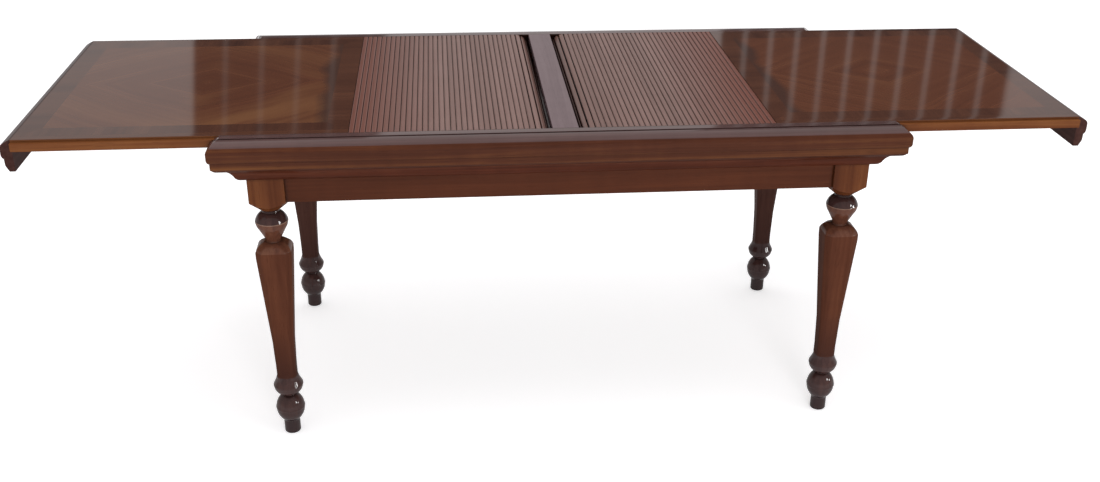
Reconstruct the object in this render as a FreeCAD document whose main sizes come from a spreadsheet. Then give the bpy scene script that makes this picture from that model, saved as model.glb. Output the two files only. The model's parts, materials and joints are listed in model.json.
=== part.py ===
import FreeCAD, Part
import math
import os
from dataclasses import dataclass
from types import SimpleNamespace

import Sketcher
from FreeCAD import Placement, Rotation, Vector

# A draw leaf table with self-storing tambours. Millimetres; the origin is on the floor under the
# centre of the table, +X runs along its length, +Y to its back and +Z up. Both leaves are drawn out.
# Outlines are drawn for the back and right-hand pieces, and turned half round for the front and left.

SIZES = {
    # the frame, seen from above
    "top_height": 800.0,
    "frame_half_length": 785.0,
    "frame_half_width": 449.0,
    # legs, from the top down: block, neck, ring, waist and the top of the shaft
    "block_width": 82.0,
    "block_height": 59.0,
    "block_taper": 33.0,
    "neck_radius": 19.0,
    "neck_step": 1.0,
    "neck_run": 6.0,
    "ring_drop": 27.0,
    "ring_radius": 37.8,
    "ring_over_curve": 34.0,
    "ring_under_curve": 26.0,
    "ring_under_depth": 18.0,
    "ring_under_inset": 6.0,
    "waist_drop": 47.0,
    "waist_radius": 18.0,
    "waist_half_run": 5.0,
    "waist_step": 1.2,
    "waist_curve": 12.0,
    "shoulder_drop": 25.0,
    "shoulder_band": 14.0,
    "vault_step": 2.0,
    "vault_gap": 4.0,
    "shaft_half_width": 41.0,
    "shaft_half_diagonal": 48.2,
    "core_depth": 3.0,
    # legs, from the floor up: foot, ball, collar, knob, ankle and the knee of the shaft
    "foot_height": 34.0,
    "foot_radius": 19.7,
    "foot_rounding": 4.0,
    "foot_cove_height": 6.0,
    "foot_cove_width": 3.0,
    "foot_cove_curve": 10.0,
    "ball_height": 73.0,
    "ball_radius": 35.3,
    "ball_curve": 44.0,
    "collar_height": 109.0,
    "collar_radius": 16.0,
    "collar_half_run": 1.0,
    "knob_height": 136.0,
    "knob_radius": 35.9,
    "knob_curve": 26.0,
    "bead_half_run": 2.0,
    "ankle_height": 190.0,
    "ankle_step": 2.0,
    "ankle_curve": 108.0,
    "ankle_half_width": 23.2,
    "ankle_half_diagonal": 27.3,
    "knee_rise": 75.0,
    "knee_half_width": 25.4,
    "knee_half_diagonal": 29.9,
    "knee_curve": 1300.0,
    "shaft_root": 40.0,
    # aprons, their tenons and the corner braces
    "apron_height": 63.0,
    "apron_thickness": 25.0,
    "apron_setback": 10.0,
    "tenon_thickness": 9.0,
    "tenon_length": 24.0,
    "tenon_shoulder": 9.0,
    "joint_clearance": 0.2,
    "brace_gap": 17.0,
    "brace_depth": 34.0,
    # cornice
    "cornice_depth": 46.0,
    "cornice_floor": 12.0,
    "cornice_wall": 1.4,
    "cornice_step": 1.0,
    "cornice_foot": 20.0,
    "cornice_foot_height": 10.0,
    "cornice_foot_curve": 20.0,
    "cove_inset": 49.0,
    "cove_curve": 48.0,
    "ovolo_inset": 27.0,
    "ovolo_drop": 10.0,
    "ovolo_step": 2.0,
    "ovolo_curve": 20.0,
    # top rails and the moulded edge
    "edge_height": 59.0,
    "lip_overhang": 15.6,
    "lip_thickness": 5.0,
    "lip_width": 21.0,
    "quirk_width": 3.5,
    "quirk_depth": 4.5,
    "thumb_drop": 1.5,
    "thumb_curve": 95.0,
    "end_thumb_width": 24.0,
    "end_thumb_curve": 60.0,
    "end_moulding_back": 1.0,
    "end_moulding_drop": 14.0,
    "end_moulding_taper": 12.4,
    "brow_inset": 9.0,
    "brow_drop": 7.5,
    "brow_curve": 14.0,
    "nose_top_drop": 19.0,
    "nose_bottom_drop": 31.0,
    "nose_curve": 16.0,
    "fillet_drop": 43.0,
    "fillet_inset": 5.5,
    "fillet_step": 1.5,
    # leaves
    "leaf_hold": 300.0,
    "leaf_thickness": 24.0,
    "groove_step": 4.6,
    "lipping_width": 32.0,
    "slide_clearance": 0.4,
    "side_clearance": 1.0,
    # lopers that carry the leaves
    "loper_spacing": 400.0,
    "loper_width": 28.0,
    "loper_tail": 12.6,
    "loper_end_gap": 8.5,
    "bearer_thickness": 25.0,
    "bearer_inset": 227.5,
    "guide_width": 15.0,
    "guide_height": 24.0,
    "peg_diameter": 8.0,
    "peg_projection": 9.0,
    "screw_diameter": 4.0,
    "screw_head_diameter": 8.0,
    "screw_head_height": 3.0,
    "screw_bite": 14.0,
    # centre bar and tambours
    "bar_half_width": 29.5,
    "slot_width": 10.0,
    "centre_bearer_thickness": 40.0,
    "slat_pitch": 12.6,
    "slat_gap": 0.8,
    "slat_bevel_width": 2.0,
    "slat_bevel_depth": 0.8,
    "slat_thickness": 8.0,
    "bend_drop": 4.2,
    "bend_clearance": 1.0,
    "canvas_thickness": 0.8,
    "canvas_margin": 4.0,
    "batten_width": 16.0,
    "pocket_run": 16.0,
    "track_gap": 126.8,
}
SCREW_SHARES = (0.12, 0.5, 0.88)  # where a loper's screws are, along its length
OVERRUN = 1.0  # how far a cutting tool runs past the face that it cuts

doc = FreeCAD.newDocument("draw_leaf_table")
sheet = doc.addObject("Spreadsheet::Sheet", "Sizes")
for row, (alias, number) in enumerate(SIZES.items(), start=1):
    sheet.set(f"A{row}", alias)
    sheet.set(f"B{row}", str(number))
    sheet.setAlias(f"B{row}", alias)
doc.recompute()


@dataclass(frozen=True)
class Size:
    """A length together with the sheet formula that gives it."""

    formula: str
    value: float

    def __add__(self, other):
        other = as_size(other)
        return Size(f"({self.formula} + {other.formula})", self.value + other.value)

    def __sub__(self, other):
        other = as_size(other)
        return Size(f"({self.formula} - {other.formula})", self.value - other.value)

    def __mul__(self, other):
        other = as_size(other)
        return Size(f"({self.formula} * {other.formula})", self.value * other.value)

    def __truediv__(self, other):
        other = as_size(other)
        return Size(f"({self.formula} / {other.formula})", self.value / other.value)

    def __neg__(self):
        return Size(f"(0 - {self.formula})", -self.value)


def as_size(number):
    """A plain number as a Size; a Size stays as it is."""
    if isinstance(number, Size):
        return number
    return Size(f"({float(number):g})", float(number))


D = SimpleNamespace(**{alias: Size(f"Sizes.{alias}", float(sheet.get(alias))) for alias in SIZES})
ZERO = as_size(0)

# ---------------------------------------------------------------- places worked out from the sizes
CORNICE_TOP = D.top_height - D.edge_height
BLOCK_TOP = CORNICE_TOP - D.cornice_depth
FLOOR_TOP = BLOCK_TOP + D.cornice_floor
APRON_BOTTOM = BLOCK_TOP - D.apron_height
BLOCK_BOTTOM = BLOCK_TOP - D.block_height
NECK_HEIGHT = BLOCK_BOTTOM - D.block_taper
RING_HEIGHT = NECK_HEIGHT - D.ring_drop
WAIST_HEIGHT = RING_HEIGHT - D.waist_drop
SHOULDER_HEIGHT = WAIST_HEIGHT - D.shoulder_drop
SHAFT_TOP = SHOULDER_HEIGHT - D.shoulder_band
KNEE_HEIGHT = D.ankle_height + D.knee_rise

HALF_BLOCK = D.block_width / 2
BLOCK_INSET = D.cove_inset + D.cornice_foot
LEG_X = D.frame_half_length - BLOCK_INSET - HALF_BLOCK
LEG_Y = D.frame_half_width - BLOCK_INSET - HALF_BLOCK
APRON_OUTER_INSET = BLOCK_INSET + D.apron_setback
APRON_INNER_INSET = APRON_OUTER_INSET + D.apron_thickness
WALL_INSET = D.cove_inset + D.cornice_wall
WALL_Y = D.frame_half_width - WALL_INSET
LIP_Y = WALL_Y - D.lip_overhang
LIP_BOTTOM = D.top_height - D.lip_thickness

BEND_END = D.bar_half_width + D.bend_clearance
BEND_RADIUS = (D.edge_height + D.slat_thickness) / 2 + D.bend_drop
BEND_START = BEND_END + BEND_RADIUS
BEND_HEIGHT = D.top_height - BEND_RADIUS
BEND_INNER = BEND_RADIUS - D.slat_thickness
SLAT_ROOM = D.frame_half_length - D.leaf_hold - BEND_START
STRAIGHT_SLATS = math.floor(SLAT_ROOM.value / D.slat_pitch.value)
LEAF_INNER_EDGE = BEND_START + D.slat_pitch * STRAIGHT_SLATS
LEAF_BOTTOM = D.top_height - D.leaf_thickness
LEAF_TOP_Y = LIP_Y - D.side_clearance
LEAF_GROOVE_Y = WALL_Y - D.groove_step
LEAF_TONGUE_Y = LEAF_GROOVE_Y - D.side_clearance
TONGUE_TOP = LIP_BOTTOM - D.slide_clearance
SLOT_OUTER = D.bar_half_width + D.slot_width
TRAVEL = LEAF_INNER_EDGE - SLOT_OUTER
LEAF_NOSE = D.frame_half_length + TRAVEL
END_MOULDING_WIDTH = D.end_thumb_width + D.end_moulding_back
END_MOULDING_BOTTOM = CORNICE_TOP - D.end_moulding_drop
PANEL_END = LEAF_NOSE - END_MOULDING_WIDTH

BEARER_X = D.frame_half_length - D.bearer_inset
HALF_BEARER = D.bearer_thickness / 2
LOPER_BOTTOM = CORNICE_TOP + D.joint_clearance
LOPER_DEPTH = LEAF_BOTTOM - LOPER_BOTTOM
LOPER_OUTER_END = PANEL_END - D.loper_end_gap
BEARER_TOP = LOPER_BOTTOM - D.slide_clearance
SCREW_SINK = LOPER_DEPTH / 2
PEG_X = BEARER_X - HALF_BEARER - D.peg_diameter / 2 - D.slide_clearance
PEG_Z = LOPER_BOTTOM + D.guide_height / 2
LOPER_INNER_END = PEG_X - D.loper_tail

SLAT_TONGUE_Y = WALL_Y - D.joint_clearance / 2
SLAT_BOTTOM = D.top_height - D.slat_thickness
QUARTER_TURN = BEND_INNER * (math.pi / 2)
TAIL_SLATS = math.ceil(QUARTER_TURN.value / D.slat_pitch.value) + 1
POCKET_HALF_LENGTH = BEND_START + D.pocket_run
TRACK_THICKNESS = WALL_Y - LEAF_TONGUE_Y
TRACK_END = BEARER_X - HALF_BEARER - D.track_gap

XY = Rotation()
XZ = Rotation(Vector(1, 0, 0), 90)
YZ = Rotation(Vector(1, 1, 1), 120)
PLANE_ROLES = {"XY": "XY_Plane", "XZ": "XZ_Plane", "YZ": "YZ_Plane"}


# ---------------------------------------------------------------- drawing
def arc_between(start, end, radius):
    """The shorter arc from start to end; it turns left where the radius is positive."""
    chord = end - start
    half = chord.Length / 2
    rise = math.sqrt(radius * radius - half * half)
    left = Vector(-chord.y, chord.x, 0).normalize()
    side = 1 if radius > 0 else -1
    centre = start + chord / 2 + left * rise * side
    first, last = (start, end) if radius > 0 else (end, start)
    angles = [math.atan2(p.y - centre.y, p.x - centre.x) for p in (first, last)]
    return Part.ArcOfCircle(Part.Circle(centre, Vector(0, 0, 1), abs(radius)), *angles)


def draw(sketch, corners):
    """Draws a closed outline of (x, y) corners and ties each to the sheet.

    A third entry is the radius of the arc that leads to the corner from the one before it, positive
    where the arc turns left.
    """
    corners = [tuple(as_size(entry) for entry in corner) for corner in corners]
    points = [Vector(corner[0].value, corner[1].value, 0) for corner in corners]
    starts, ends = [], []
    for index, corner in enumerate(corners):
        start, end = points[index - 1], points[index]
        if len(corner) == 3:
            radius = corner[2].value
            edge = sketch.addGeometry(arc_between(start, end, radius), False)
            bound = sketch.addConstraint(Sketcher.Constraint("Radius", edge, abs(radius)))
            size = corner[2] if radius > 0 else -corner[2]
            sketch.setExpression(f"Constraints[{bound}]", size.formula)
            start_end, far_end = (1, 2) if radius > 0 else (2, 1)
        else:
            edge = sketch.addGeometry(Part.LineSegment(start, end), False)
            start_end, far_end = 1, 2
        starts.append((edge, start_end))
        ends.append((edge, far_end))
    for index, corner in enumerate(corners):
        following = starts[(index + 1) % len(corners)]
        sketch.addConstraint(Sketcher.Constraint("Coincident", *ends[index], *following))
        for kind, axis, size in (("DistanceX", -2, corner[0]), ("DistanceY", -1, corner[1])):
            if size.formula == ZERO.formula:
                sketch.addConstraint(Sketcher.Constraint("PointOnObject", *ends[index], axis))
                continue
            bound = sketch.addConstraint(Sketcher.Constraint(kind, -1, 1, *ends[index], size.value))
            sketch.setExpression(f"Constraints[{bound}]", size.formula)
    return sketch


def free_sketch(name, rotation, corners):
    """A sketch of its own, turned into the plane of an extrusion or a revolution."""
    sketch = doc.addObject("Sketcher::SketchObject", name)
    sketch.Placement = Placement(Vector(), rotation)
    return draw(sketch, corners)


def rectangle(x_low, x_high, y_low, y_high):
    """The four corners of a rectangle."""
    return [(x_low, y_low), (x_high, y_low), (x_high, y_high), (x_low, y_high)]


def mirrored(right_side):
    """An outline that is symmetrical about its upright axis, from its right side, lowest first."""
    left_side = []
    for index in range(len(right_side) - 1, -1, -1):
        x, y = right_side[index][:2]
        radius = right_side[index + 1][2:] if index + 1 < len(right_side) else ()
        left_side.append((-as_size(x), y, *radius))
    return list(right_side) + left_side


# ---------------------------------------------------------------- Part objects
def bind(item, **sizes):
    """Ties an object's properties to the sheet."""
    for name, size in sizes.items():
        item.setExpression(name.replace("__", "."), as_size(size).formula)
    return item


def box(name, x_low, x_high, y_low, y_high, z_low, z_high, turn=0):
    """A box between two corners; turn 180 puts it on the other side of the table."""
    x_low, x_high, y_low, y_high, z_low, z_high = (
        as_size(size) for size in (x_low, x_high, y_low, y_high, z_low, z_high)
    )
    item = doc.addObject("Part::Box", name)
    bind(item, Length=x_high - x_low, Width=y_high - y_low, Height=z_high - z_low)
    item.Placement = Placement(Vector(), Rotation(Vector(0, 0, 1), turn))
    near_x, near_y = (-x_low, -y_low) if turn == 180 else (x_low, y_low)
    return bind(item, Placement__Base__x=near_x, Placement__Base__y=near_y, Placement__Base__z=z_low)


def cylinder(name, radius, length, x, y, z, direction=Vector(0, 0, 1)):
    """A cylinder from a point, along a direction."""
    item = doc.addObject("Part::Cylinder", name)
    item.Placement = Placement(Vector(), Rotation(Vector(0, 0, 1), direction))
    bind(item, Radius=radius, Height=length)
    return bind(item, Placement__Base__x=x, Placement__Base__y=y, Placement__Base__z=z)


def extrusion(name, rotation, corners, direction, length):
    """An outline pushed out equally to both sides of its plane."""
    item = doc.addObject("Part::Extrusion", name)
    item.Base = free_sketch(f"{name}_outline", rotation, corners)
    item.DirMode = "Custom"
    item.Dir = direction
    item.Symmetric = True
    item.Solid = True
    return bind(item, LengthFwd=length)


def revolution(name, corners):
    """An outline turned about the upright axis."""
    item = doc.addObject("Part::Revolution", name)
    item.Source = free_sketch(f"{name}_outline", XZ, corners)
    item.Axis = Vector(0, 0, 1)
    item.Angle = 360
    item.Solid = True
    return item


def boolean(kind, name, items):
    """Part::MultiFuse or Part::MultiCommon of several objects, or one object if there is only one."""
    if len(items) == 1:
        return items[0]
    item = doc.addObject(kind, name)
    item.Shapes = items
    return item


def cut(name, base, tools):
    """base with the tools taken out of it."""
    item = doc.addObject("Part::Cut", name)
    item.Base = base
    item.Tool = boolean("Part::MultiFuse", f"{name}_tools", tools)
    return item


def group(name, items):
    """Several separate solids in one node."""
    item = doc.addObject("Part::Compound", name)
    item.Links = items
    return item


def turned(item, turn):
    """An object turned about the upright axis through the centre of the table."""
    item.Placement = Placement(Vector(), Rotation(Vector(0, 0, 1), turn))
    return item


# ---------------------------------------------------------------- PartDesign bodies
def new_body(name):
    """An empty body."""
    return doc.addObject("PartDesign::Body", name)


def body_sketch(body, name, plane, corners):
    """A sketch on one of a body's own origin planes."""
    sketch = body.newObject("Sketcher::SketchObject", name)
    role = PLANE_ROLES[plane]
    support = next(f for f in body.Origin.OriginFeatures if f.Role == role)
    sketch.AttachmentSupport = (support, "")
    sketch.MapMode = "FlatFace"
    return draw(sketch, corners)


def pad(body, name, plane, corners, length):
    """Adds an outline pushed out equally to both sides of its plane."""
    feature = body.newObject("PartDesign::Pad", name)
    feature.Profile = body_sketch(body, f"{name}_outline", plane, corners)
    feature.Midplane = True
    return bind(feature, Length=length)


def pocket(body, name, plane, corners, length):
    """Takes out an outline pushed out equally to both sides of its plane."""
    feature = body.newObject("PartDesign::Pocket", name)
    feature.Profile = body_sketch(body, f"{name}_outline", plane, corners)
    feature.Midplane = True
    return bind(feature, Length=length)


# ---------------------------------------------------------------- legs and aprons
def face_profile(half_top, half_knee, half_ankle):
    """Half of a shaft's outline across two opposite faces, from the ankle up to the vaulted top."""
    vault_end = D.waist_radius + D.vault_step
    return [
        (half_ankle, D.ankle_height - D.shaft_root),
        (half_ankle, D.ankle_height),
        (half_knee, KNEE_HEIGHT, -D.knee_curve),
        (half_top, SHAFT_TOP),
        (half_top, SHOULDER_HEIGHT),
        (vault_end, WAIST_HEIGHT - D.vault_gap, half_top - D.waist_radius + D.vault_gap),
    ]


def shaft(name):
    """The tapered shaft: eight faces, four broad and four on its corners, vaulted over at the top."""
    broad = (D.shaft_half_width, D.knee_half_width, D.ankle_half_width)
    on_corner = (D.shaft_half_diagonal, D.knee_half_diagonal, D.ankle_half_diagonal)
    faces = []
    for index in range(4):
        outline = mirrored(face_profile(*(on_corner if index % 2 else broad)))
        face = extrusion(f"{name}_face_{index}", XZ, outline, Vector(0, 1, 0), D.block_width * 2)
        face.Placement = Placement(Vector(), Rotation(Vector(0, 0, 1), 45 * index))
        faces.append(face)
    return boolean("Part::MultiCommon", name, faces)


def bead(height, radius, half_run, curve):
    """The widest part of a turned bead: a curve out to it, then a short straight run."""
    return [(radius, height - half_run, curve), (radius, height + half_run)]


def spindle(name):
    """Everything turned on the leg: foot, ball, knob and ankle below the shaft, waist and ring above."""
    core = D.waist_radius - D.core_depth
    ring_low = RING_HEIGHT - D.bead_half_run - D.neck_step
    return revolution(
        name,
        [
            (ZERO, ZERO),
            (D.foot_radius - D.foot_rounding, ZERO),
            (D.foot_radius, D.foot_rounding, D.foot_rounding),
            (D.foot_radius, D.foot_height),
            (D.foot_radius + D.foot_cove_width, D.foot_height + D.foot_cove_height, -D.foot_cove_curve),
            *bead(D.ball_height, D.ball_radius, D.bead_half_run, D.ball_curve),
            *bead(D.collar_height, D.collar_radius, D.collar_half_run, D.ball_curve),
            *bead(D.knob_height, D.knob_radius, D.bead_half_run, D.knob_curve),
            (D.ankle_half_width - D.ankle_step, D.ankle_height, -D.ankle_curve),
            (core, D.ankle_height + D.ankle_step / 2),
            (core, WAIST_HEIGHT - D.waist_half_run - D.neck_step),
            (D.waist_radius, WAIST_HEIGHT - D.waist_half_run),
            (D.waist_radius + D.waist_step, WAIST_HEIGHT + D.waist_half_run, -D.waist_curve),
            (D.ring_radius - D.ring_under_inset, RING_HEIGHT - D.ring_under_depth),
            (D.ring_radius, ring_low, D.ring_under_curve),
            (D.ring_radius, RING_HEIGHT + D.bead_half_run),
            (D.neck_radius + D.neck_step, NECK_HEIGHT - D.neck_run / 2, D.ring_over_curve),
            (D.neck_radius, NECK_HEIGHT),
            (D.neck_radius, NECK_HEIGHT + D.neck_run),
            (ZERO, NECK_HEIGHT + D.neck_run),
        ],
    )


def leg_block(name):
    """The square block that the aprons join, its lower end turned down to the neck."""
    block = box(f"{name}_square", -HALF_BLOCK, HALF_BLOCK, -HALF_BLOCK, HALF_BLOCK, NECK_HEIGHT, BLOCK_TOP)
    corner_radius = HALF_BLOCK * math.sqrt(2) + D.neck_step
    turning = revolution(
        f"{name}_turning",
        [
            (ZERO, NECK_HEIGHT),
            (D.neck_radius, NECK_HEIGHT),
            (corner_radius, BLOCK_BOTTOM),
            (corner_radius, BLOCK_TOP),
            (ZERO, BLOCK_TOP),
        ],
    )
    return boolean("Part::MultiCommon", name, [block, turning])


def leg(name, x, y, turn):
    """A leg with a mortise for each of its two aprons."""
    apron_centre = HALF_BLOCK - D.apron_setback - D.apron_thickness / 2
    half_slot = D.tenon_thickness / 2 + D.joint_clearance
    depth = D.tenon_length + D.joint_clearance
    low = APRON_BOTTOM + D.tenon_shoulder - D.joint_clearance
    high = BLOCK_TOP - D.tenon_shoulder + D.joint_clearance
    near, far = apron_centre - half_slot, apron_centre + half_slot
    mortises = [
        box(f"{name}_long_mortise", -HALF_BLOCK, depth - HALF_BLOCK, near, far, low, high),
        box(f"{name}_end_mortise", near, far, -HALF_BLOCK, depth - HALF_BLOCK, low, high),
    ]
    parts = [leg_block(f"{name}_block"), shaft(f"{name}_shaft"), spindle(f"{name}_spindle")]
    item = cut(name, boolean("Part::MultiFuse", f"{name}_blank", parts), mortises)
    item.Placement = Placement(Vector(), Rotation(Vector(0, 0, 1), turn))
    return bind(item, Placement__Base__x=x, Placement__Base__y=y)


def apron(name, plane, frame_half, leg_position, turn):
    """An apron with a tenon at each end."""
    outer = frame_half - APRON_OUTER_INSET
    inner = frame_half - APRON_INNER_INSET
    middle = (outer + inner) / 2
    half_tenon = D.tenon_thickness / 2
    length = (leg_position - HALF_BLOCK) * 2
    body = new_body(name)
    pad(body, f"{name}_board", plane, rectangle(inner, outer, APRON_BOTTOM, BLOCK_TOP), length)
    low, high = APRON_BOTTOM + D.tenon_shoulder, BLOCK_TOP - D.tenon_shoulder
    tenon = rectangle(middle - half_tenon, middle + half_tenon, low, high)
    pad(body, f"{name}_tenons", plane, tenon, length + D.tenon_length * 2)
    return turned(body, turn)


def corner_braces(name):
    """Four blocks glued across the corners, between a long apron and an end apron."""
    x = D.frame_half_length - APRON_INNER_INSET
    y = D.frame_half_width - APRON_INNER_INSET
    block_corner = D.block_width - D.apron_setback - D.apron_thickness
    near = block_corner * 2 + D.brace_gap
    far = near + D.brace_depth
    braces = []
    for index, (side_x, side_y) in enumerate(((1, 1), (-1, 1), (-1, -1), (1, -1))):
        corners = [(x - near, y), (x - far, y), (x, y - far), (x, y - near)]
        corners = [(along * side_x, across * side_y) for along, across in corners]
        brace = doc.addObject("Part::Extrusion", f"{name}_{index}")
        brace.Base = free_sketch(f"{name}_{index}_outline", XY, corners)
        brace.DirMode = "Custom"
        brace.Dir = Vector(0, 0, 1)
        brace.Solid = True
        bind(brace, LengthFwd=D.brace_depth)
        bind(brace.Base, Placement__Base__z=BLOCK_TOP - D.brace_depth)
        braces.append(brace)
    return group(name, braces)


# ---------------------------------------------------------------- cornice and top rails
def cornice_section(frame_half):
    """The cornice's section: foot moulding, cove and ovolo outside, wall and floor inside."""
    cove_x, cove_z = frame_half - D.cove_inset, BLOCK_TOP + D.cornice_foot_height
    ovolo_x, ovolo_z = frame_half - D.ovolo_inset, CORNICE_TOP - D.ovolo_drop
    return [
        (frame_half - APRON_INNER_INSET, BLOCK_TOP),
        (frame_half - BLOCK_INSET, BLOCK_TOP),
        (cove_x - D.cornice_step, cove_z - D.cornice_step, D.cornice_foot_curve),
        (cove_x, cove_z),
        (ovolo_x, ovolo_z, -D.cove_curve),
        (ovolo_x + D.ovolo_step, ovolo_z),
        (frame_half - D.fillet_inset - D.fillet_step, CORNICE_TOP, D.ovolo_curve),
        (frame_half - WALL_INSET, CORNICE_TOP),
        (frame_half - WALL_INSET, FLOOR_TOP),
        (frame_half - APRON_INNER_INSET, FLOOR_TOP),
    ]


def mitred_plan(half_run, half_across):
    """The plan of one side of a mitred frame: across is its own direction, run its length."""
    inner_run = half_run - APRON_INNER_INSET
    inner_across = half_across - APRON_INNER_INSET
    return [
        (half_run, half_across),
        (-half_run, half_across),
        (-inner_run, inner_across),
        (inner_run, inner_across),
    ]


def cornice(name, long_side, turn):
    """One side of the cornice, mitred at both ends; at the table's ends notched for the leaf's moulding."""
    half_run, half_across = D.frame_half_length, D.frame_half_width
    plane, direction = YZ, Vector(1, 0, 0)
    if not long_side:
        half_run, half_across = half_across, half_run
        plane, direction = XZ, Vector(0, 1, 0)
    run = extrusion(f"{name}_run", plane, cornice_section(half_across), direction, half_run * 2)
    corners = mitred_plan(half_run, half_across)
    if not long_side:
        corners = [(y, x) for x, y in reversed(corners)]
    plan = extrusion(f"{name}_plan", XY, corners, Vector(0, 0, 1), D.top_height * 2)
    if long_side:
        return turned(boolean("Part::MultiCommon", name, [run, plan]), turn)
    notch = box(
        f"{name}_notch",
        half_across - END_MOULDING_WIDTH - D.side_clearance,
        half_across + OVERRUN,
        -LIP_Y,
        LIP_Y,
        END_MOULDING_BOTTOM - D.slide_clearance,
        CORNICE_TOP + OVERRUN,
    )
    return turned(cut(name, boolean("Part::MultiCommon", f"{name}_blank", [run, plan]), [notch]), turn)


def edge_profile(edge):
    """The moulded edge of the top below its brow: nose, under-curve and fillet, lowest first."""
    top = D.top_height
    return [
        (edge - D.fillet_inset, CORNICE_TOP),
        (edge - D.fillet_inset, top - D.fillet_drop),
        (edge - D.fillet_inset + D.fillet_step, top - D.fillet_drop),
        (edge, top - D.nose_bottom_drop, D.nose_curve),
        (edge, top - D.nose_top_drop),
        (edge - D.brow_inset, top - D.brow_drop, D.brow_curve),
    ]


def top_rail(name, turn):
    """A long rail of the top: moulded edge, quirk, lip, and grooves for the leaves and the slats."""
    quirk = LIP_Y + D.lip_width
    groove_floor = LEAF_BOTTOM - D.slide_clearance
    slat_floor = SLAT_BOTTOM - D.slide_clearance
    section = edge_profile(D.frame_half_width) + [
        (quirk + D.quirk_width, D.top_height - D.thumb_drop, D.thumb_curve),
        (quirk + D.quirk_width, D.top_height - D.quirk_depth),
        (quirk, D.top_height - D.quirk_depth),
        (quirk, D.top_height),
        (LIP_Y, D.top_height),
        (LIP_Y, LIP_BOTTOM),
        (WALL_Y, LIP_BOTTOM),
        (WALL_Y, slat_floor),
        (LEAF_GROOVE_Y, slat_floor),
        (LEAF_GROOVE_Y, groove_floor),
        (LIP_Y, groove_floor),
        (LIP_Y, CORNICE_TOP),
    ]
    run = extrusion(f"{name}_run", YZ, section, Vector(1, 0, 0), D.frame_half_length * 2)
    end = edge_profile(D.frame_half_length)
    end.append((D.frame_half_length - D.end_thumb_width, D.top_height, D.end_thumb_curve))
    ends = extrusion(f"{name}_ends", XZ, mirrored(end), Vector(0, 1, 0), D.frame_half_width * 4)
    rail = boolean("Part::MultiCommon", f"{name}_blank", [run, ends])
    bend_pocket = box(
        f"{name}_bend_pocket",
        -POCKET_HALF_LENGTH,
        POCKET_HALF_LENGTH,
        LIP_Y - OVERRUN,
        WALL_Y,
        CORNICE_TOP - OVERRUN,
        LIP_BOTTOM,
    )
    return turned(cut(name, rail, [bend_pocket]), turn)


# ---------------------------------------------------------------- bearers and guides
def loper_sides():
    """The two lopers of a leaf as (word, low y, high y)."""
    for word, side in (("front", -1), ("back", 1)):
        middle = D.loper_spacing / 2 * side
        yield word, middle - D.loper_width / 2, middle + D.loper_width / 2


def end_bearer(name, turn):
    """The rail that a leaf passes over at the end of the frame, notched for the lopers."""
    outer = D.frame_half_length - WALL_INSET
    top = LEAF_BOTTOM - D.slide_clearance
    section = rectangle(outer - D.bearer_thickness, outer, FLOOR_TOP, top)
    body = new_body(name)
    pad(body, f"{name}_rail", "XZ", section, LIP_Y * 2)
    for word, low, high in loper_sides():
        notch = rectangle(low - D.side_clearance, high + D.side_clearance, BEARER_TOP, top + OVERRUN)
        pocket(body, f"{name}_{word}_notch", "YZ", notch, D.frame_half_length * 2)
    return turned(body, turn)


def cross_bearer(name, turn):
    """The rail inside the frame that the lopers run on."""
    near, far = BEARER_X - HALF_BEARER, BEARER_X + HALF_BEARER
    return box(name, near, far, -WALL_Y, WALL_Y, FLOOR_TOP, BEARER_TOP, turn)


def loper_guides(name, turn):
    """Blocks on the cross bearer, one on each side of each loper, that keep it straight."""
    inner, outer = BEARER_X - HALF_BEARER, BEARER_X + HALF_BEARER
    top = BEARER_TOP + D.guide_height
    guides = []
    for word, low, high in loper_sides():
        for side, near, far in (
            ("near", low - D.side_clearance - D.guide_width, low - D.side_clearance),
            ("far", high + D.side_clearance, high + D.side_clearance + D.guide_width),
        ):
            guides.append(box(f"{name}_{word}_{side}", inner, outer, near, far, BEARER_TOP, top))
    return turned(group(name, guides), turn)


def bend_guides(name, turn):
    """Round-nosed blocks, front and back, that turn the slats' tongues down beside the centre bar."""
    radius = BEND_INNER - D.slide_clearance
    corners = [
        (POCKET_HALF_LENGTH, BEND_HEIGHT - radius),
        (POCKET_HALF_LENGTH, BEND_HEIGHT + radius),
        (BEND_START, BEND_HEIGHT + radius),
        (BEND_START - radius, BEND_HEIGHT, radius),
        (BEND_START, BEND_HEIGHT - radius, radius),
    ]
    guides = []
    for word, side in (("front", -1), ("back", 1)):
        guide = extrusion(f"{name}_{word}", XZ, corners, Vector(0, 1, 0), TRACK_THICKNESS)
        bind(guide, Placement__Base__y=(WALL_Y - TRACK_THICKNESS / 2) * side)
        guides.append(guide)
    return turned(group(name, guides), turn)


def lower_tracks(name, turn):
    """Strips on the cornice floor that the slats' tongues run out on when they are stored."""
    top = BEND_HEIGHT - BEND_INNER - (TONGUE_TOP - SLAT_BOTTOM) - D.slide_clearance
    tracks = []
    for word, low, high in (
        ("front", -WALL_Y, -LEAF_TONGUE_Y),
        ("back", LEAF_TONGUE_Y, WALL_Y),
    ):
        tracks.append(box(f"{name}_{word}", BEND_START, TRACK_END, low, high, FLOOR_TOP, top))
    return turned(group(name, tracks), turn)


def centre_bearer(name):
    """The cross rail under the centre bar."""
    half = D.centre_bearer_thickness / 2
    return box(name, -half, half, -WALL_Y, WALL_Y, FLOOR_TOP, LEAF_BOTTOM)


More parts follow.
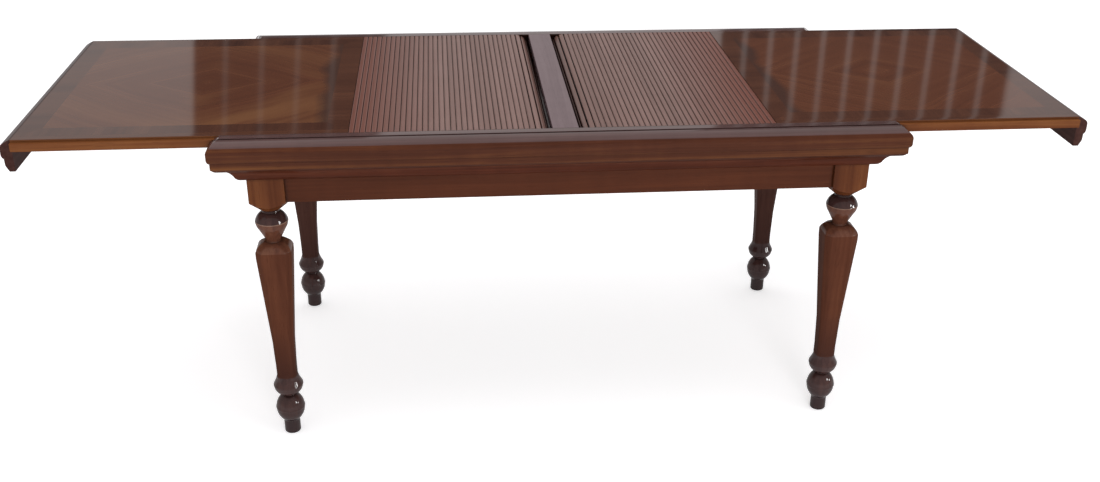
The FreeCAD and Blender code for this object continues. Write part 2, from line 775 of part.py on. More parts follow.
def centre_bar(name):
    """The fixed bar across the middle of the top, its ends under the lips of the rails."""
    body = new_body(name)
    section = [
        (WALL_Y - D.side_clearance, LEAF_BOTTOM),
        (WALL_Y - D.side_clearance, TONGUE_TOP),
        (LEAF_TOP_Y, TONGUE_TOP),
        (LEAF_TOP_Y, D.top_height),
    ]
    pad(body, f"{name}_board", "YZ", mirrored(section), D.bar_half_width * 2)
    return body


# ---------------------------------------------------------------- leaves
def screw_places():
    """Where the screws go up through the lopers into a leaf, as (index, x, y)."""
    index = 0
    for share in SCREW_SHARES:
        x = LOPER_INNER_END + (LOPER_OUTER_END - LOPER_INNER_END) * share
        for side in (-1, 1):
            yield index, x, D.loper_spacing / 2 * side
            index += 1


def screw_holes(name):
    """A pilot hole in the leaf for each loper screw."""
    radius = D.screw_diameter / 2 + D.joint_clearance / 2
    depth = D.screw_bite + D.joint_clearance
    return [
        cylinder(f"{name}_hole_{index}", radius, depth + OVERRUN, x, y, LEAF_BOTTOM - OVERRUN)
        for index, x, y in screw_places()
    ]


def leaf_section():
    """Half of a leaf's section: the tongue below, the narrower face that shows between the lips."""
    return [
        (LEAF_TONGUE_Y, LEAF_BOTTOM),
        (LEAF_TONGUE_Y, TONGUE_TOP),
        (LEAF_TOP_Y, TONGUE_TOP),
        (LEAF_TOP_Y, D.top_height),
    ]


def batten_rebate(name):
    """The space under a leaf's inner edge that takes the canvas and its batten."""
    return box(
        name,
        LEAF_INNER_EDGE - OVERRUN,
        LEAF_INNER_EDGE + D.batten_width,
        -LEAF_TONGUE_Y - OVERRUN,
        LEAF_TONGUE_Y + OVERRUN,
        LEAF_BOTTOM - OVERRUN,
        SLAT_BOTTOM,
    )


def leaf_panel(name, turn):
    """The veneered panel of a leaf."""
    inner = LEAF_TONGUE_Y - D.lipping_width
    board = box(f"{name}_board", LEAF_INNER_EDGE, PANEL_END, -inner, inner, LEAF_BOTTOM, D.top_height)
    tools = [batten_rebate(f"{name}_rebate"), *screw_holes(name)]
    return turned(cut(name, board, tools), turn)


def leaf_lippings(name, turn):
    """The two long edge strips of a leaf, with the tongues that run in the rails."""
    inner = LEAF_TONGUE_Y - D.lipping_width
    lippings = []
    for word, side in (("front", -1), ("back", 1)):
        corners = [(inner * side, LEAF_BOTTOM)]
        corners += [(y * side, z) for y, z in leaf_section()]
        corners.append((inner * side, D.top_height))
        strip = doc.addObject("Part::Extrusion", f"{name}_{word}_strip")
        strip.Base = free_sketch(f"{name}_{word}_outline", YZ, corners)
        bind(strip.Base, Placement__Base__x=LEAF_INNER_EDGE)
        strip.DirMode = "Custom"
        strip.Dir = Vector(1, 0, 0)
        strip.Solid = True
        bind(strip, LengthFwd=PANEL_END - LEAF_INNER_EDGE)
        lippings.append(cut(f"{name}_{word}", strip, [batten_rebate(f"{name}_{word}_rebate")]))
    return turned(group(name, lippings), turn)


def end_moulding(name, turn):
    """The moulded edge at a leaf's outer end, which completes the top's edge when the leaf is in."""
    profile = edge_profile(LEAF_NOSE)
    corners = [
        (PANEL_END, END_MOULDING_BOTTOM),
        (LEAF_NOSE - D.end_moulding_taper, END_MOULDING_BOTTOM),
        (LEAF_NOSE - D.fillet_inset, CORNICE_TOP),
        *profile[1:],
        (LEAF_NOSE - D.end_thumb_width, D.top_height, D.end_thumb_curve),
        (PANEL_END, D.top_height),
    ]
    run = extrusion(f"{name}_run", XZ, corners, Vector(0, 1, 0), LEAF_TOP_Y * 2)
    return turned(group(name, [run]), turn)


def lopers(name, turn):
    """The two bars under a leaf that carry it when it is drawn out, bored for the peg and screws."""
    bore = D.screw_diameter / 2 + D.joint_clearance / 2
    sink = D.screw_head_diameter / 2 + D.joint_clearance
    peg_bore = D.peg_diameter / 2 + D.joint_clearance / 4
    low_z = LOPER_BOTTOM - OVERRUN
    items = []
    for word, low, high in loper_sides():
        stem = f"{name}_{word}"
        bar = box(f"{stem}_bar", LOPER_INNER_END, LOPER_OUTER_END, low, high, LOPER_BOTTOM, LEAF_BOTTOM)
        across = D.loper_width + OVERRUN * 2
        holes = [
            cylinder(f"{stem}_peg_hole", peg_bore, across, PEG_X, high + OVERRUN, PEG_Z, Vector(0, -1, 0))
        ]
        for index, x, y in screw_places():
            if low.value < y.value < high.value:
                deep, shallow = LOPER_DEPTH + OVERRUN * 2, SCREW_SINK + OVERRUN
                holes.append(cylinder(f"{stem}_bore_{index}", bore, deep, x, y, low_z))
                holes.append(cylinder(f"{stem}_sink_{index}", sink, shallow, x, y, low_z))
        items.append(cut(stem, bar, holes))
    return turned(group(name, items), turn)


def loper_screws(name, turn):
    """Screws that hold the lopers to the leaf."""
    seat = LOPER_BOTTOM + SCREW_SINK
    shank_length = LOPER_DEPTH - SCREW_SINK + D.screw_bite
    head_z = seat - D.screw_head_height
    screws = []
    for index, x, y in screw_places():
        stem = f"{name}_{index}"
        shank = cylinder(f"{stem}_shank", D.screw_diameter / 2, shank_length, x, y, seat)
        head = cylinder(
            f"{stem}_head", D.screw_head_diameter / 2, D.screw_head_height, x, y, head_z
        )
        screws.append(boolean("Part::MultiFuse", stem, [shank, head]))
    return turned(group(name, screws), turn)


def stop_pegs(name, turn):
    """Dowels across the lopers that meet the guides and stop the leaf from coming out."""
    radius, length = D.peg_diameter / 2, D.loper_width + D.peg_projection * 2
    pegs = []
    for word, low, high in loper_sides():
        start = high + D.peg_projection
        pegs.append(cylinder(f"{name}_{word}", radius, length, PEG_X, start, PEG_Z, Vector(0, -1, 0)))
    return turned(group(name, pegs), turn)


# ---------------------------------------------------------------- tambours
def canvas_batten(name, turn):
    """The batten that clamps the canvas under a leaf's inner edge."""
    half = LEAF_TOP_Y - D.canvas_margin
    far, top = LEAF_INNER_EDGE + D.batten_width, SLAT_BOTTOM - D.canvas_thickness
    return box(name, LEAF_INNER_EDGE, far, -half, half, LEAF_BOTTOM, top, turn)


def tambour_canvas(name, turn):
    """The canvas glued under the slats: straight under the top, then round the bend."""
    inner = BEND_INNER - D.canvas_thickness
    corners = [
        (LEAF_INNER_EDGE + D.batten_width, SLAT_BOTTOM - D.canvas_thickness),
        (LEAF_INNER_EDGE + D.batten_width, SLAT_BOTTOM),
        (BEND_START, SLAT_BOTTOM),
        (BEND_START - BEND_INNER, BEND_HEIGHT, BEND_INNER),
        (BEND_START - BEND_INNER, BEND_HEIGHT - D.slat_pitch),
        (BEND_START - inner, BEND_HEIGHT - D.slat_pitch),
        (BEND_START - inner, BEND_HEIGHT),
        (BEND_START, SLAT_BOTTOM - D.canvas_thickness, -inner),
    ]
    length = (LEAF_TOP_Y - D.canvas_margin) * 2
    body = new_body(name)
    pad(body, f"{name}_sheet", "XZ", corners, length)
    return turned(body, turn)


def slat_shape(middle_x):
    """One slat under the top, across the table at middle_x: a bevelled face and two narrower tongues."""
    half = (D.slat_pitch - D.slat_gap).value / 2
    bevel, face_y, tongue_y = D.slat_bevel_width.value, LEAF_TOP_Y.value, SLAT_TONGUE_Y.value
    low, high = SLAT_BOTTOM.value, D.top_height.value
    section = [
        (-half, low),
        (half, low),
        (half, high - D.slat_bevel_depth.value),
        (half - bevel, high),
        (bevel - half, high),
        (-half, high - D.slat_bevel_depth.value),
    ]
    points = [Vector(middle_x + x, -face_y, z) for x, z in section]
    face = Part.Face(Part.makePolygon([*points, points[0]])).extrude(Vector(0, 2 * face_y, 0))
    corner = Vector(middle_x - half + bevel, -tongue_y, low)
    tongues = Part.makeBox(2 * (half - bevel), 2 * tongue_y, (TONGUE_TOP - SLAT_BOTTOM).value, corner)
    return face.fuse(tongues).removeSplitter()


def tambour_slats(name, turn):
    """The slats of a tambour: side by side under the top, fanned round the bend, and hanging."""
    pitch, inner, quarter_turn = D.slat_pitch.value, BEND_INNER.value, QUARTER_TURN.value
    places = [(index + 0.5) * pitch for index in range(max(STRAIGHT_SLATS, TAIL_SLATS))]
    slats = [slat_shape(LEAF_INNER_EDGE.value - place) for place in places[:STRAIGHT_SLATS]]
    centre = Vector(BEND_START.value, 0, BEND_HEIGHT.value)
    for place in places[:TAIL_SLATS]:
        round_bend = min(place, quarter_turn)
        slat = slat_shape(BEND_START.value)
        slat.rotate(centre, Vector(0, -1, 0), math.degrees(round_bend / inner))
        slat.translate(Vector(0, 0, round_bend - place))
        slats.append(slat)
    item = doc.addObject("Part::Feature", name)
    item.Shape = Part.makeCompound(slats)
    return turned(item, turn)


# ---------------------------------------------------------------- the whole table
def build_table():
    """Every sub-part, each named after its node."""
    nodes = [
        leg("leg_back_right", LEG_X, LEG_Y, 0),
        leg("leg_back_left", -LEG_X, LEG_Y, 90),
        leg("leg_front_left", -LEG_X, -LEG_Y, 180),
        leg("leg_front_right", LEG_X, -LEG_Y, 270),
        corner_braces("corner_braces"),
        centre_bearer("centre_bearer"),
        centre_bar("centre_bar"),
    ]
    for word, turn in (("back", 0), ("front", 180)):
        nodes += [
            apron(f"{word}_apron", "YZ", D.frame_half_width, LEG_X, turn),
            cornice(f"{word}_cornice", True, turn),
            top_rail(f"{word}_top_rail", turn),
        ]
    for word, turn in (("right", 0), ("left", 180)):
        nodes += [
            apron(f"{word}_apron", "XZ", D.frame_half_length, LEG_Y, turn),
            cornice(f"{word}_cornice", False, turn),
            end_bearer(f"{word}_end_bearer", turn),
            cross_bearer(f"{word}_cross_bearer", turn),
            loper_guides(f"{word}_loper_guides", turn),
            bend_guides(f"{word}_bend_guides", turn),
            lower_tracks(f"{word}_lower_tracks", turn),
            leaf_panel(f"{word}_leaf_panel", turn),
            leaf_lippings(f"{word}_leaf_lippings", turn),
            end_moulding(f"{word}_leaf_end_moulding", turn),
            lopers(f"{word}_lopers", turn),
            loper_screws(f"{word}_loper_screws", turn),
            stop_pegs(f"{word}_stop_pegs", turn),
            canvas_batten(f"{word}_canvas_batten", turn),
            tambour_canvas(f"{word}_tambour_canvas", turn),
            tambour_slats(f"{word}_tambour_slats", turn),
        ]
    return nodes


def write_parts(nodes):
    """Checks the document and writes each sub-part to its own STEP file."""
    failed = [o.Name for o in doc.Objects if {"Invalid", "Error"} & set(o.State)]
    if failed:
        raise SystemExit(f"objects that failed: {failed}")
    os.makedirs("parts", exist_ok=True)
    for node in nodes:
        node.Label = node.Name
        shape = node.Shape
        if shape.isNull() or not shape.isValid() or not shape.Solids:
            raise SystemExit(f"{node.Name} has no valid shape")
    for node in nodes:
        node.Shape.exportStep(f"parts/{node.Name}.step")
        solids = len(node.Shape.Solids)
        print(f"{node.Name}: {solids} solids, {node.Shape.Volume / 1000:.1f} cm3")


table_nodes = build_table()
doc.recompute()
write_parts(table_nodes)
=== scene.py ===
"""The looks of a draw leaf table with self-storing tambours.

Each class builds one sub-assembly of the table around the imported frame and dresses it. The table stands
on the floor, with +X along its length, +Y to its back and +Z up. Both leaves are drawn out at rest.
Sizes are in millimetres, unless a comment says otherwise; the meshes that they give are in metres.
"""

import json
import logging
import math
from collections.abc import Sequence
from dataclasses import dataclass, replace
from enum import Enum

import bmesh
import bpy
from mathutils import Matrix, Vector

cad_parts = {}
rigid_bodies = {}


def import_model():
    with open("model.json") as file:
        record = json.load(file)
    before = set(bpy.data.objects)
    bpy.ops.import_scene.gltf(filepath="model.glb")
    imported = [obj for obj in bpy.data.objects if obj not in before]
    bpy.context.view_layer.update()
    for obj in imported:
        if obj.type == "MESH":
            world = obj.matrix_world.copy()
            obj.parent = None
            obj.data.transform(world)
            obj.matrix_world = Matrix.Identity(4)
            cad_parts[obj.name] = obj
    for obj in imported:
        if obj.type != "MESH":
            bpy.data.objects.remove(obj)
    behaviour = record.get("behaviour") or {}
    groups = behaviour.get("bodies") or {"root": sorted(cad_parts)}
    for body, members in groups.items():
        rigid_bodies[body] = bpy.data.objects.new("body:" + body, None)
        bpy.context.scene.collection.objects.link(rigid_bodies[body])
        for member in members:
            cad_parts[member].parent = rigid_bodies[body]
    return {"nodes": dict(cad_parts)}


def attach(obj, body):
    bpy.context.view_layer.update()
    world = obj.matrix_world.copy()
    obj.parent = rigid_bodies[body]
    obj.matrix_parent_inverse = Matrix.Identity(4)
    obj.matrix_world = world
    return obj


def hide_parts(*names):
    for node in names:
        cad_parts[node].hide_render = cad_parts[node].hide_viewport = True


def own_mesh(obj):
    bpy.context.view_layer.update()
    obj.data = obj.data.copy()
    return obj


LOG = logging.getLogger("table")
MM = 0.001
WHITE = (1.0, 1.0, 1.0, 1.0)
HALF_LENGTH = 785.0  # of the fixed top
HALF_WIDTH = 449.0
TOP = 800.0  # the height of the top
BOARD_LOW = 776.0  # the underside of the leaves and the bar
SLAT_FLOOR = 792.0  # the underside of the slats
TONGUE_TOP = 794.6  # the tongues of leaves, bar and slats run under the rails' lips
FACE = 382.0  # how far leaves, bar and slats show to either side of the table's middle line
EIGHTH = math.radians(45)  # of a full turn
Point = tuple[float, float]
Corner = tuple[float, ...]
Mesh = bmesh.types.BMesh
Tree = bpy.types.NodeTree
Socket = bpy.types.NodeSocket
Given = Socket | float | tuple[float, ...]
Drawn = tuple[Socket, Socket]  # a wood's colour, and the height for its bump


# ------------------------------------------------------------------------------------------ materials
def linear(hex_colour: str) -> tuple[float, float, float, float]:
    """Turns an sRGB hex colour into linear light.

    Args:
        hex_colour: Six hex digits, such as "5a3426".

    Returns:
        Red, green, blue and alpha.
    """
    channels = [int(hex_colour[i : i + 2], 16) / 255 for i in (0, 2, 4)]
    lin = [c / 12.92 if c <= 0.04045 else ((c + 0.055) / 1.055) ** 2.4 for c in channels]
    return (*lin, 1.0)


def add(
    tree: Tree,
    kind: str,
    inputs: dict | None = None,
    out: int | str = 0,
    stops: Sequence[tuple[float, str]] = (),
    **settings: object,
) -> Socket | None:
    """Adds a node with its settings and links.

    Args:
        tree: The node tree.
        kind: The node's type, without "ShaderNode".
        inputs: A socket to link, or a constant to set, for each input.
        out: The output that is wanted.
        stops: Positions and hex colours of a colour ramp.
        settings: Properties of the node.

    Returns:
        The output socket, or None for a node that ends the tree.
    """
    node = tree.nodes.new(f"ShaderNode{kind}")
    for name, setting in settings.items():
        setattr(node, name, setting)
    for key, given in (inputs or {}).items():
        if isinstance(given, Socket):
            tree.links.new(given, node.inputs[key])
        else:
            node.inputs[key].default_value = given
    for index, (position, colour) in enumerate(stops):
        ramp = node.color_ramp.elements
        stop = ramp[index] if index < 2 else ramp.new(position)
        stop.position, stop.color = position, linear(colour)
    return node.outputs[out] if node.outputs else None


def calc(tree: Tree, operation: str, *values: Given) -> Socket:
    """Adds a sum of numbers."""
    return add(tree, "Math", dict(enumerate(values)), operation=operation)


def vectors(tree: Tree, operation: str, *values: Given) -> Socket:
    """Adds a sum of vectors."""
    return add(tree, "VectorMath", dict(enumerate(values)), operation=operation)


def remap(tree: Tree, value: Given, *limits: Given, curve: str = "LINEAR") -> Socket:
    """Carries a value from one range to another; the limits are both of the first, then of the second."""
    return add(tree, "MapRange", dict(enumerate((value, *limits))), interpolation_type=curve)


def blend(tree: Tree, amount: Socket, colour: Socket, over: str) -> Socket:
    """Lays a plain hex colour over another colour."""
    return add(tree, "Mix", {0: amount, 6: colour, 7: linear(over)}, out=2, data_type="RGBA")


def read(tree: Tree, place: Socket, axis: str) -> Socket:
    """Reads one axis of a place."""
    return add(tree, "SeparateXYZ", {0: place}, out=axis)


def surface(tree: Tree, inputs: dict[str, Given]) -> None:
    """Adds the shader and ends the tree with it."""
    add(tree, "OutputMaterial", {"Surface": add(tree, "BsdfPrincipled", inputs)})


def new_material(name: str) -> tuple[bpy.types.Material, Tree]:
    """Makes an empty node material.

    Args:
        name: What the material is.

    Returns:
        The material and its node tree.
    """
    material = bpy.data.materials.new(name)
    material.use_nodes = True
    material.node_tree.nodes.clear()
    return material, material.node_tree


class Grain(Enum):
    """Which way the grain runs; the value is the turn that brings it onto X."""

    ALONG_X = (0.0, 0.0, 0.0)
    ALONG_Y = (0.0, 0.0, -math.pi / 2)
    ALONG_Z = (0.0, math.pi / 2, 0.0)


@dataclass(frozen=True)
class Spot:
    """A place on a piece of wood, as its material's nodes know it."""

    tree: Tree
    grain: Socket  # the place in metres, X along the grain
    own: Socket  # a number of the piece's own, so that no two pieces are alike

    def noise(self, size: Point, detail: float, out: int | str = 0) -> Socket:
        """Adds noise whose patches have a real size.

        Args:
            size: A patch's length along the grain and its width across it.
            detail: Levels of finer detail.
            out: The output that is wanted.

        Returns:
            The output socket.
        """
        along, across = (1 / (2 * length * MM) for length in size)
        scaled = vectors(self.tree, "MULTIPLY", self.grain, (along, across, across))
        inputs = {"Vector": scaled, "W": self.own, "Scale": 1.0, "Detail": detail, "Roughness": 0.55}
        return add(self.tree, "TexNoise", inputs, out=out, noise_dimensions="4D")

    def swayed(self, size: Point, reach: tuple[float, float, float]) -> "Spot":
        """Sways the place by slow noise.

        Args:
            size: A wave's length along the grain and its width across it.
            reach: How far it sways each axis, in metres.

        Returns:
            The swayed place.
        """
        wave = vectors(self.tree, "SUBTRACT", self.noise(size, 2.0, out="Color"), (0.5, 0.5, 0.5))
        wave = vectors(self.tree, "MULTIPLY", wave, reach)
        return replace(self, grain=vectors(self.tree, "ADD", self.grain, wave))


@dataclass(frozen=True)
class SolidWood:
    """Planed or turned solid wood: long streaks, broad bands of tone, mottle across them, and pores.

    Under a sprayed and polished lacquer the wood's own sheen lies deep, below a clear hard gloss.
    """

    name: str
    dark: str
    middle: str
    light: str
    grain: Grain = Grain.ALONG_X
    band: float = 42.0  # width of a band of growth rings
    streak: float = 5.0  # width of a streak
    pore: float = 0.9  # real pores are 0.3 mm wide; drawn as coarse as they need to show
    contrast: float = 1.0
    roughness: float = 0.45
    lacquer: float = 0.16
    gloss_roughness: float = 0.07
    wear: float = 0.35
    worn_width: float = 1.6  # how far the wear reaches from an arris
    patches: float = 22.0  # patches of wear to a metre
    # Painted shade: ambient occlusion darkens quirks, corners and gaps towards a near-black colour.
    recess_shade: float = 0.75  # how dark the painted shade is in the quirks and corners
    recess_shade_reach: float = 9.0
    recess_shade_colour: str = "0c0504"
    shares: tuple[float, float, float] = (0.62, 0.30, 0.08)  # of bands, streaks and mottle in the tone
    spread: float = 0.16  # half the range of tone from dark to light, at a contrast of 1
    pore_depth: float = 0.4  # how much of the dark a pore takes
    lots: float = 37.0  # how far apart in the noise two pieces may lie

    def material(self) -> bpy.types.Material:
        """Makes the material.

        Returns:
            The material.
        """
        material, tree = new_material(self.name)
        place = add(tree, "TexCoord", out="Object")
        grain = add(tree, "Mapping", {"Vector": place, "Rotation": self.grain.value})
        own = calc(tree, "MULTIPLY", add(tree, "ObjectInfo", out="Random"), self.lots)
        colour, height = self.figure(Spot(tree, grain, own))
        inputs = {
            "Base Color": self.painted_recess_shade(tree, self.worn(tree, colour, grain)),
            "Normal": add(tree, "Bump", {"Height": height, "Strength": 0.25, "Distance": 0.2 * MM}),
            "Roughness": self.roughness,
            "Specular IOR Level": 0.0 if self.lacquer else 0.04,
            "Coat Weight": self.lacquer,
            "Coat Roughness": self.gloss_roughness,
            "Coat IOR": 1.45,
        }
        surface(tree, inputs)
        return material

    def figure(self, spot: Spot) -> Drawn:
        """Draws the wood's figure.

        Args:
            spot: The place on the piece.

        Returns:
            The colour, and the height for the bump.
        """
        tree = spot.tree
        sway = self.band * MM * 0.9
        spot = spot.swayed((700.0, 160.0), (0.0, sway, sway))
        bands = spot.noise((1100.0, self.band), 3.0)
        streaks = spot.noise((260.0, self.streak), 4.0)
        mottle = spot.noise((22.0, 55.0), 2.0)
        tone: Given = 0.0
        for wave, share in zip((bands, streaks, mottle), self.shares):
            tone = calc(tree, "MULTIPLY_ADD", wave, share, tone)
        spread = self.spread / self.contrast
        stops = ((0.5 - spread, self.dark), (0.5 + spread, self.light), (0.5, self.middle))
        colour = add(tree, "ValToRGB", {"Fac": tone}, stops=stops)
        pores = remap(tree, spot.noise((16.0, self.pore), 1.0), 0.6, 0.74, 0.0, 1.0)
        colour = blend(tree, calc(tree, "MULTIPLY", pores, self.pore_depth), colour, self.dark)
        return colour, calc(tree, "SUBTRACT", streaks, pores)

    def worn(self, tree: Tree, colour: Socket, grain: Socket) -> Socket:
        """Lightens arrises where the stain is rubbed thin.

        Args:
            tree: The node tree.
            colour: The wood's colour.
            grain: Place in metres.

        Returns:
            The colour with its wear.
        """
        rounded = add(tree, "Bevel", {"Radius": self.worn_width * MM}, samples=4)
        facing = add(tree, "NewGeometry", out="Normal")
        edge = add(tree, "VectorMath", {0: rounded, 1: facing}, out="Value", operation="DOT_PRODUCT")
        edge = remap(tree, edge, 0.985, 0.90, 0.0, self.wear)
        patchy = add(tree, "TexNoise", {"Vector": grain, "Scale": self.patches, "Detail": 2.0})
        patchy = remap(tree, patchy, 0.35, 0.65, 0.25, 1.0)
        return blend(tree, calc(tree, "MULTIPLY", edge, patchy), colour, self.light)

    def painted_recess_shade(self, tree: Tree, colour: Socket) -> Socket:
        """Paints shade into quirks, corners and gaps, found by ambient occlusion.

        Args:
            tree: The node tree.
            colour: The wood's colour.

        Returns:
            The colour with its painted shade.
        """
        open_air = add(tree, "AmbientOcclusion", {"Distance": self.recess_shade_reach * MM}, out="AO", samples=6)
        return blend(tree, remap(tree, open_air, 0.25, 0.95, self.recess_shade, 0.0), colour, self.recess_shade_colour)


@dataclass(frozen=True)
class FlameVeneer(SolidWood):
    """Crotch veneer, quarter matched: plumes of light and dark run round the leaf's middle in a diamond."""

    centre: float = 844.25  # the leaf's middle, from the table's middle
    slant: float = 40.0  # degrees between the plumes and the table's length
    gold: str = "7a5234"
    gold_share: float = 0.55
    lot: float = 5.0  # which log the leaves were cut from
    sweep: str = "38241f"  # a dark band with a wandering edge, beside the inner crossband
    sweep_end: float = 562.0  # how far it reaches, from the table's middle
    sweep_wave: float = 90.0  # how far its edge wanders
    curl: float = 110.0  # how far the plumes curl

    def figure(self, spot: Spot) -> Drawn:
        """Folds the place into one quarter of the leaf, turns it onto the plumes and draws them there.

        Args:
            spot: The place on the piece.

        Returns:
            The colour, and the height for the bump.
        """
        tree = spot.tree
        fold = vectors(tree, "ABSOLUTE", spot.grain)
        fold = vectors(tree, "SUBTRACT", fold, (self.centre * MM, 0, 0))
        fold = vectors(tree, "ABSOLUTE", fold)
        turn = (0.0, 0.0, math.radians(self.slant))
        turned = add(tree, "Mapping", {"Vector": fold, "Rotation": turn})
        own = calc(tree, "ADD", spot.own, self.lot)
        quarter = Spot(tree, turned, own).swayed((240.0, 190.0), (0.0, self.curl * MM, 0.0))
        colour, height = super().figure(quarter)
        plumes = calc(tree, "MULTIPLY", quarter.noise((230.0, 34.0), 3.0), quarter.noise((150.0, 120.0), 1.0))
        amount = remap(tree, plumes, 0.22, 0.36, 0.0, self.gold_share)
        x, y = (read(tree, spot.grain, axis) for axis in "XY")
        away = calc(tree, "ABSOLUTE", x)
        for value, quiet, golden, least in (
            (away, self.centre + 110, self.centre - 60, 0.2),
            (x, 300.0, -300.0, 0.25),
            (y, 100.0, -150.0, 0.4),
        ):
            share = remap(tree, value, quiet * MM, golden * MM, least, 1.0)
            amount = calc(tree, "MULTIPLY", amount, share)
        colour = blend(tree, amount, colour, self.gold)
        wave = replace(spot, own=own).noise((70.0, 70.0), 1.0)
        away = calc(tree, "MULTIPLY_ADD", wave, self.sweep_wave * MM, away)
        near, far = ((self.sweep_end + self.sweep_wave / 2 + edge) * MM for edge in (-12, 12))
        return blend(tree, remap(tree, away, near, far, 0.75, 0.0), colour, self.sweep), height


@dataclass(frozen=True)
class Slats(SolidWood):
    """Slats cut one after another from several boards, so that their tones step from slat to slat."""

    pitch: float = 12.6
    first: float = 0.42  # where the first slat starts, in pitches
    boards: float = 0.6  # how far apart in the noise two slats may lie
    groove: str = "1d0f0d"  # painted shade between the slats and down the slot
    handled: str = "6b3c30"  # the slats beside the leaves are out most often, and redder
    handled_from: float = 270.0  # from the table's middle, where this begins
    handled_to: float = 460.0  # where it is strongest
    slot: float = 84.0  # where the run turns down, from the table's middle
    undarkened_above: Point = (797.0, 799.5)  # above this height a slat has no painted shade, inside the slot and outside it
    blackest_below: Point = (776.0, 796.5)  # below this one its painted shade is nearly black

    def figure(self, spot: Spot) -> Drawn:
        """Gives each slat a number of its own, and draws its wood with it.

        Args:
            spot: The place on the piece, Y across the slats.

        Returns:
            The colour, and the height for the bump.
        """
        tree = spot.tree
        across, height = (read(tree, spot.grain, axis) for axis in "YZ")
        count = calc(tree, "DIVIDE", across, self.pitch * MM)
        count = calc(tree, "FLOOR", calc(tree, "ADD", count, self.first))
        lot = add(tree, "TexWhiteNoise", {"W": count}, noise_dimensions="1D")
        own = calc(tree, "MULTIPLY_ADD", lot, self.boards, spot.own)
        colour, bump = super().figure(replace(spot, own=own))
        away = calc(tree, "ABSOLUTE", across)
        share = remap(tree, away, self.handled_from * MM, self.handled_to * MM, 0.0, 0.85)
        colour = blend(tree, share, colour, self.handled)
        # Painted shade: the slats darken with depth below the top, most inside the slot.
        near, far = (self.slot - 1) * MM, (self.slot + 1) * MM
        spans = ((inside * MM, outside * MM) for inside, outside in (self.undarkened_above, self.blackest_below))
        undarkened_above, blackest_below = (remap(tree, away, near, far, *span) for span in spans)
        return blend(tree, remap(tree, height, undarkened_above, blackest_below, 0.0, 0.93), colour, self.groove), bump


@dataclass(frozen=True)
class LegDarkerTowardsFoot(SolidWood):
    """A turned leg, darker towards its foot."""

    grain: Grain = Grain.ALONG_Z
    foot_tone: str = "38231f"
    undarkened_above: float = 300.0  # above this height it is not darkened
    darkest_at: float = 165.0
    share: float = 0.7

    def figure(self, spot: Spot) -> Drawn:
        """Draws the wood, darker towards the foot.

        Args:
            spot: The place on the piece, X up the leg.

        Returns:
            The colour, and the height for the bump.
        """
        colour, height = super().figure(spot)
        up = read(spot.tree, spot.grain, "X")
        amount = remap(spot.tree, up, self.darkest_at * MM, self.undarkened_above * MM, self.share, 0.0)
        return blend(spot.tree, amount, colour, self.foot_tone), height


@dataclass(frozen=True)
class WovenCanvas:
    """Plain-woven cotton canvas, sized with glue: round threads over and under each other, dull and dusty."""

    name: str = "woven_cotton_canvas"
    thread: float = 1.6  # real threads are 0.6 mm apart; drawn as coarse as they need to show
    light: str = "7d6f58"
    dark: str = "4a4030"
    canvas_slot_shade: str = "14100d"  # painted shade on the canvas down in the slot, round the bend
    slot: float = 84.0

    def material(self) -> bpy.types.Material:
        """Makes the material.

        Returns:
            The material.
        """
        material, tree = new_material(self.name)
        place = add(tree, "TexCoord", out="Object")
        turns = {0: place, "Scale": math.pi / (self.thread * MM)}
        turns = add(tree, "VectorMath", turns, operation="SCALE")
        weave = calc(tree, "MULTIPLY", *(calc(tree, "SINE", read(tree, turns, axis)) for axis in "XY"))
        weave = remap(tree, weave, -1.0, 1.0)
        dust = add(tree, "TexNoise", {"Vector": place, "Scale": 30.0, "Detail": 3.0})
        tone = calc(tree, "MULTIPLY", weave, dust)
        colour = add(tree, "ValToRGB", {"Fac": tone}, stops=((0.1, self.dark), (0.6, self.light)))
        away = calc(tree, "ABSOLUTE", read(tree, place, "X"))
        # Painted shade: the canvas darkens where it goes down into the slot.
        canvas_slot_shade = remap(tree, away, self.slot * MM, (self.slot + 4) * MM, 0.9, 0.0)
        colour = blend(tree, canvas_slot_shade, colour, self.canvas_slot_shade)
        bump = add(tree, "Bump", {"Height": weave, "Strength": 0.6, "Distance": 0.3 * MM})
        surface(tree, {"Base Color": colour, "Normal": bump, "Roughness": 0.85, "Sheen Weight": 0.2})
        return material


@dataclass(frozen=True)
class TurnedSteel:
    """Turned mild steel, a little tarnished with grey blotches."""

    name: str = "turned_mild_steel"
    bright: str = "a7a29b"
    dull: str = "6d675f"

    def material(self) -> bpy.types.Material:
        """Makes the material.

        Returns:
            The material.
        """
        material, tree = new_material(self.name)
        place = add(tree, "TexCoord", out="Object")
        blotch = add(tree, "TexNoise", {"Vector": place, "Scale": 220.0, "Detail": 4.0})
        colour = add(tree, "ValToRGB", {"Fac": blotch}, stops=((0.35, self.dull), (0.65, self.bright)))
        rough = remap(tree, blotch, 0.3, 0.7, 0.5, 0.3)
        surface(tree, {"Base Color": colour, "Metallic": 1.0, "Roughness": rough})
        return material


POLISHED = {"lacquer": 0.66, "gloss_roughness": 0.045}
UNPOLISHED = {"lacquer": 0.0, "roughness": 0.6}
RUBBED_DULL = {"lacquer": 0.5, "gloss_roughness": 0.2}


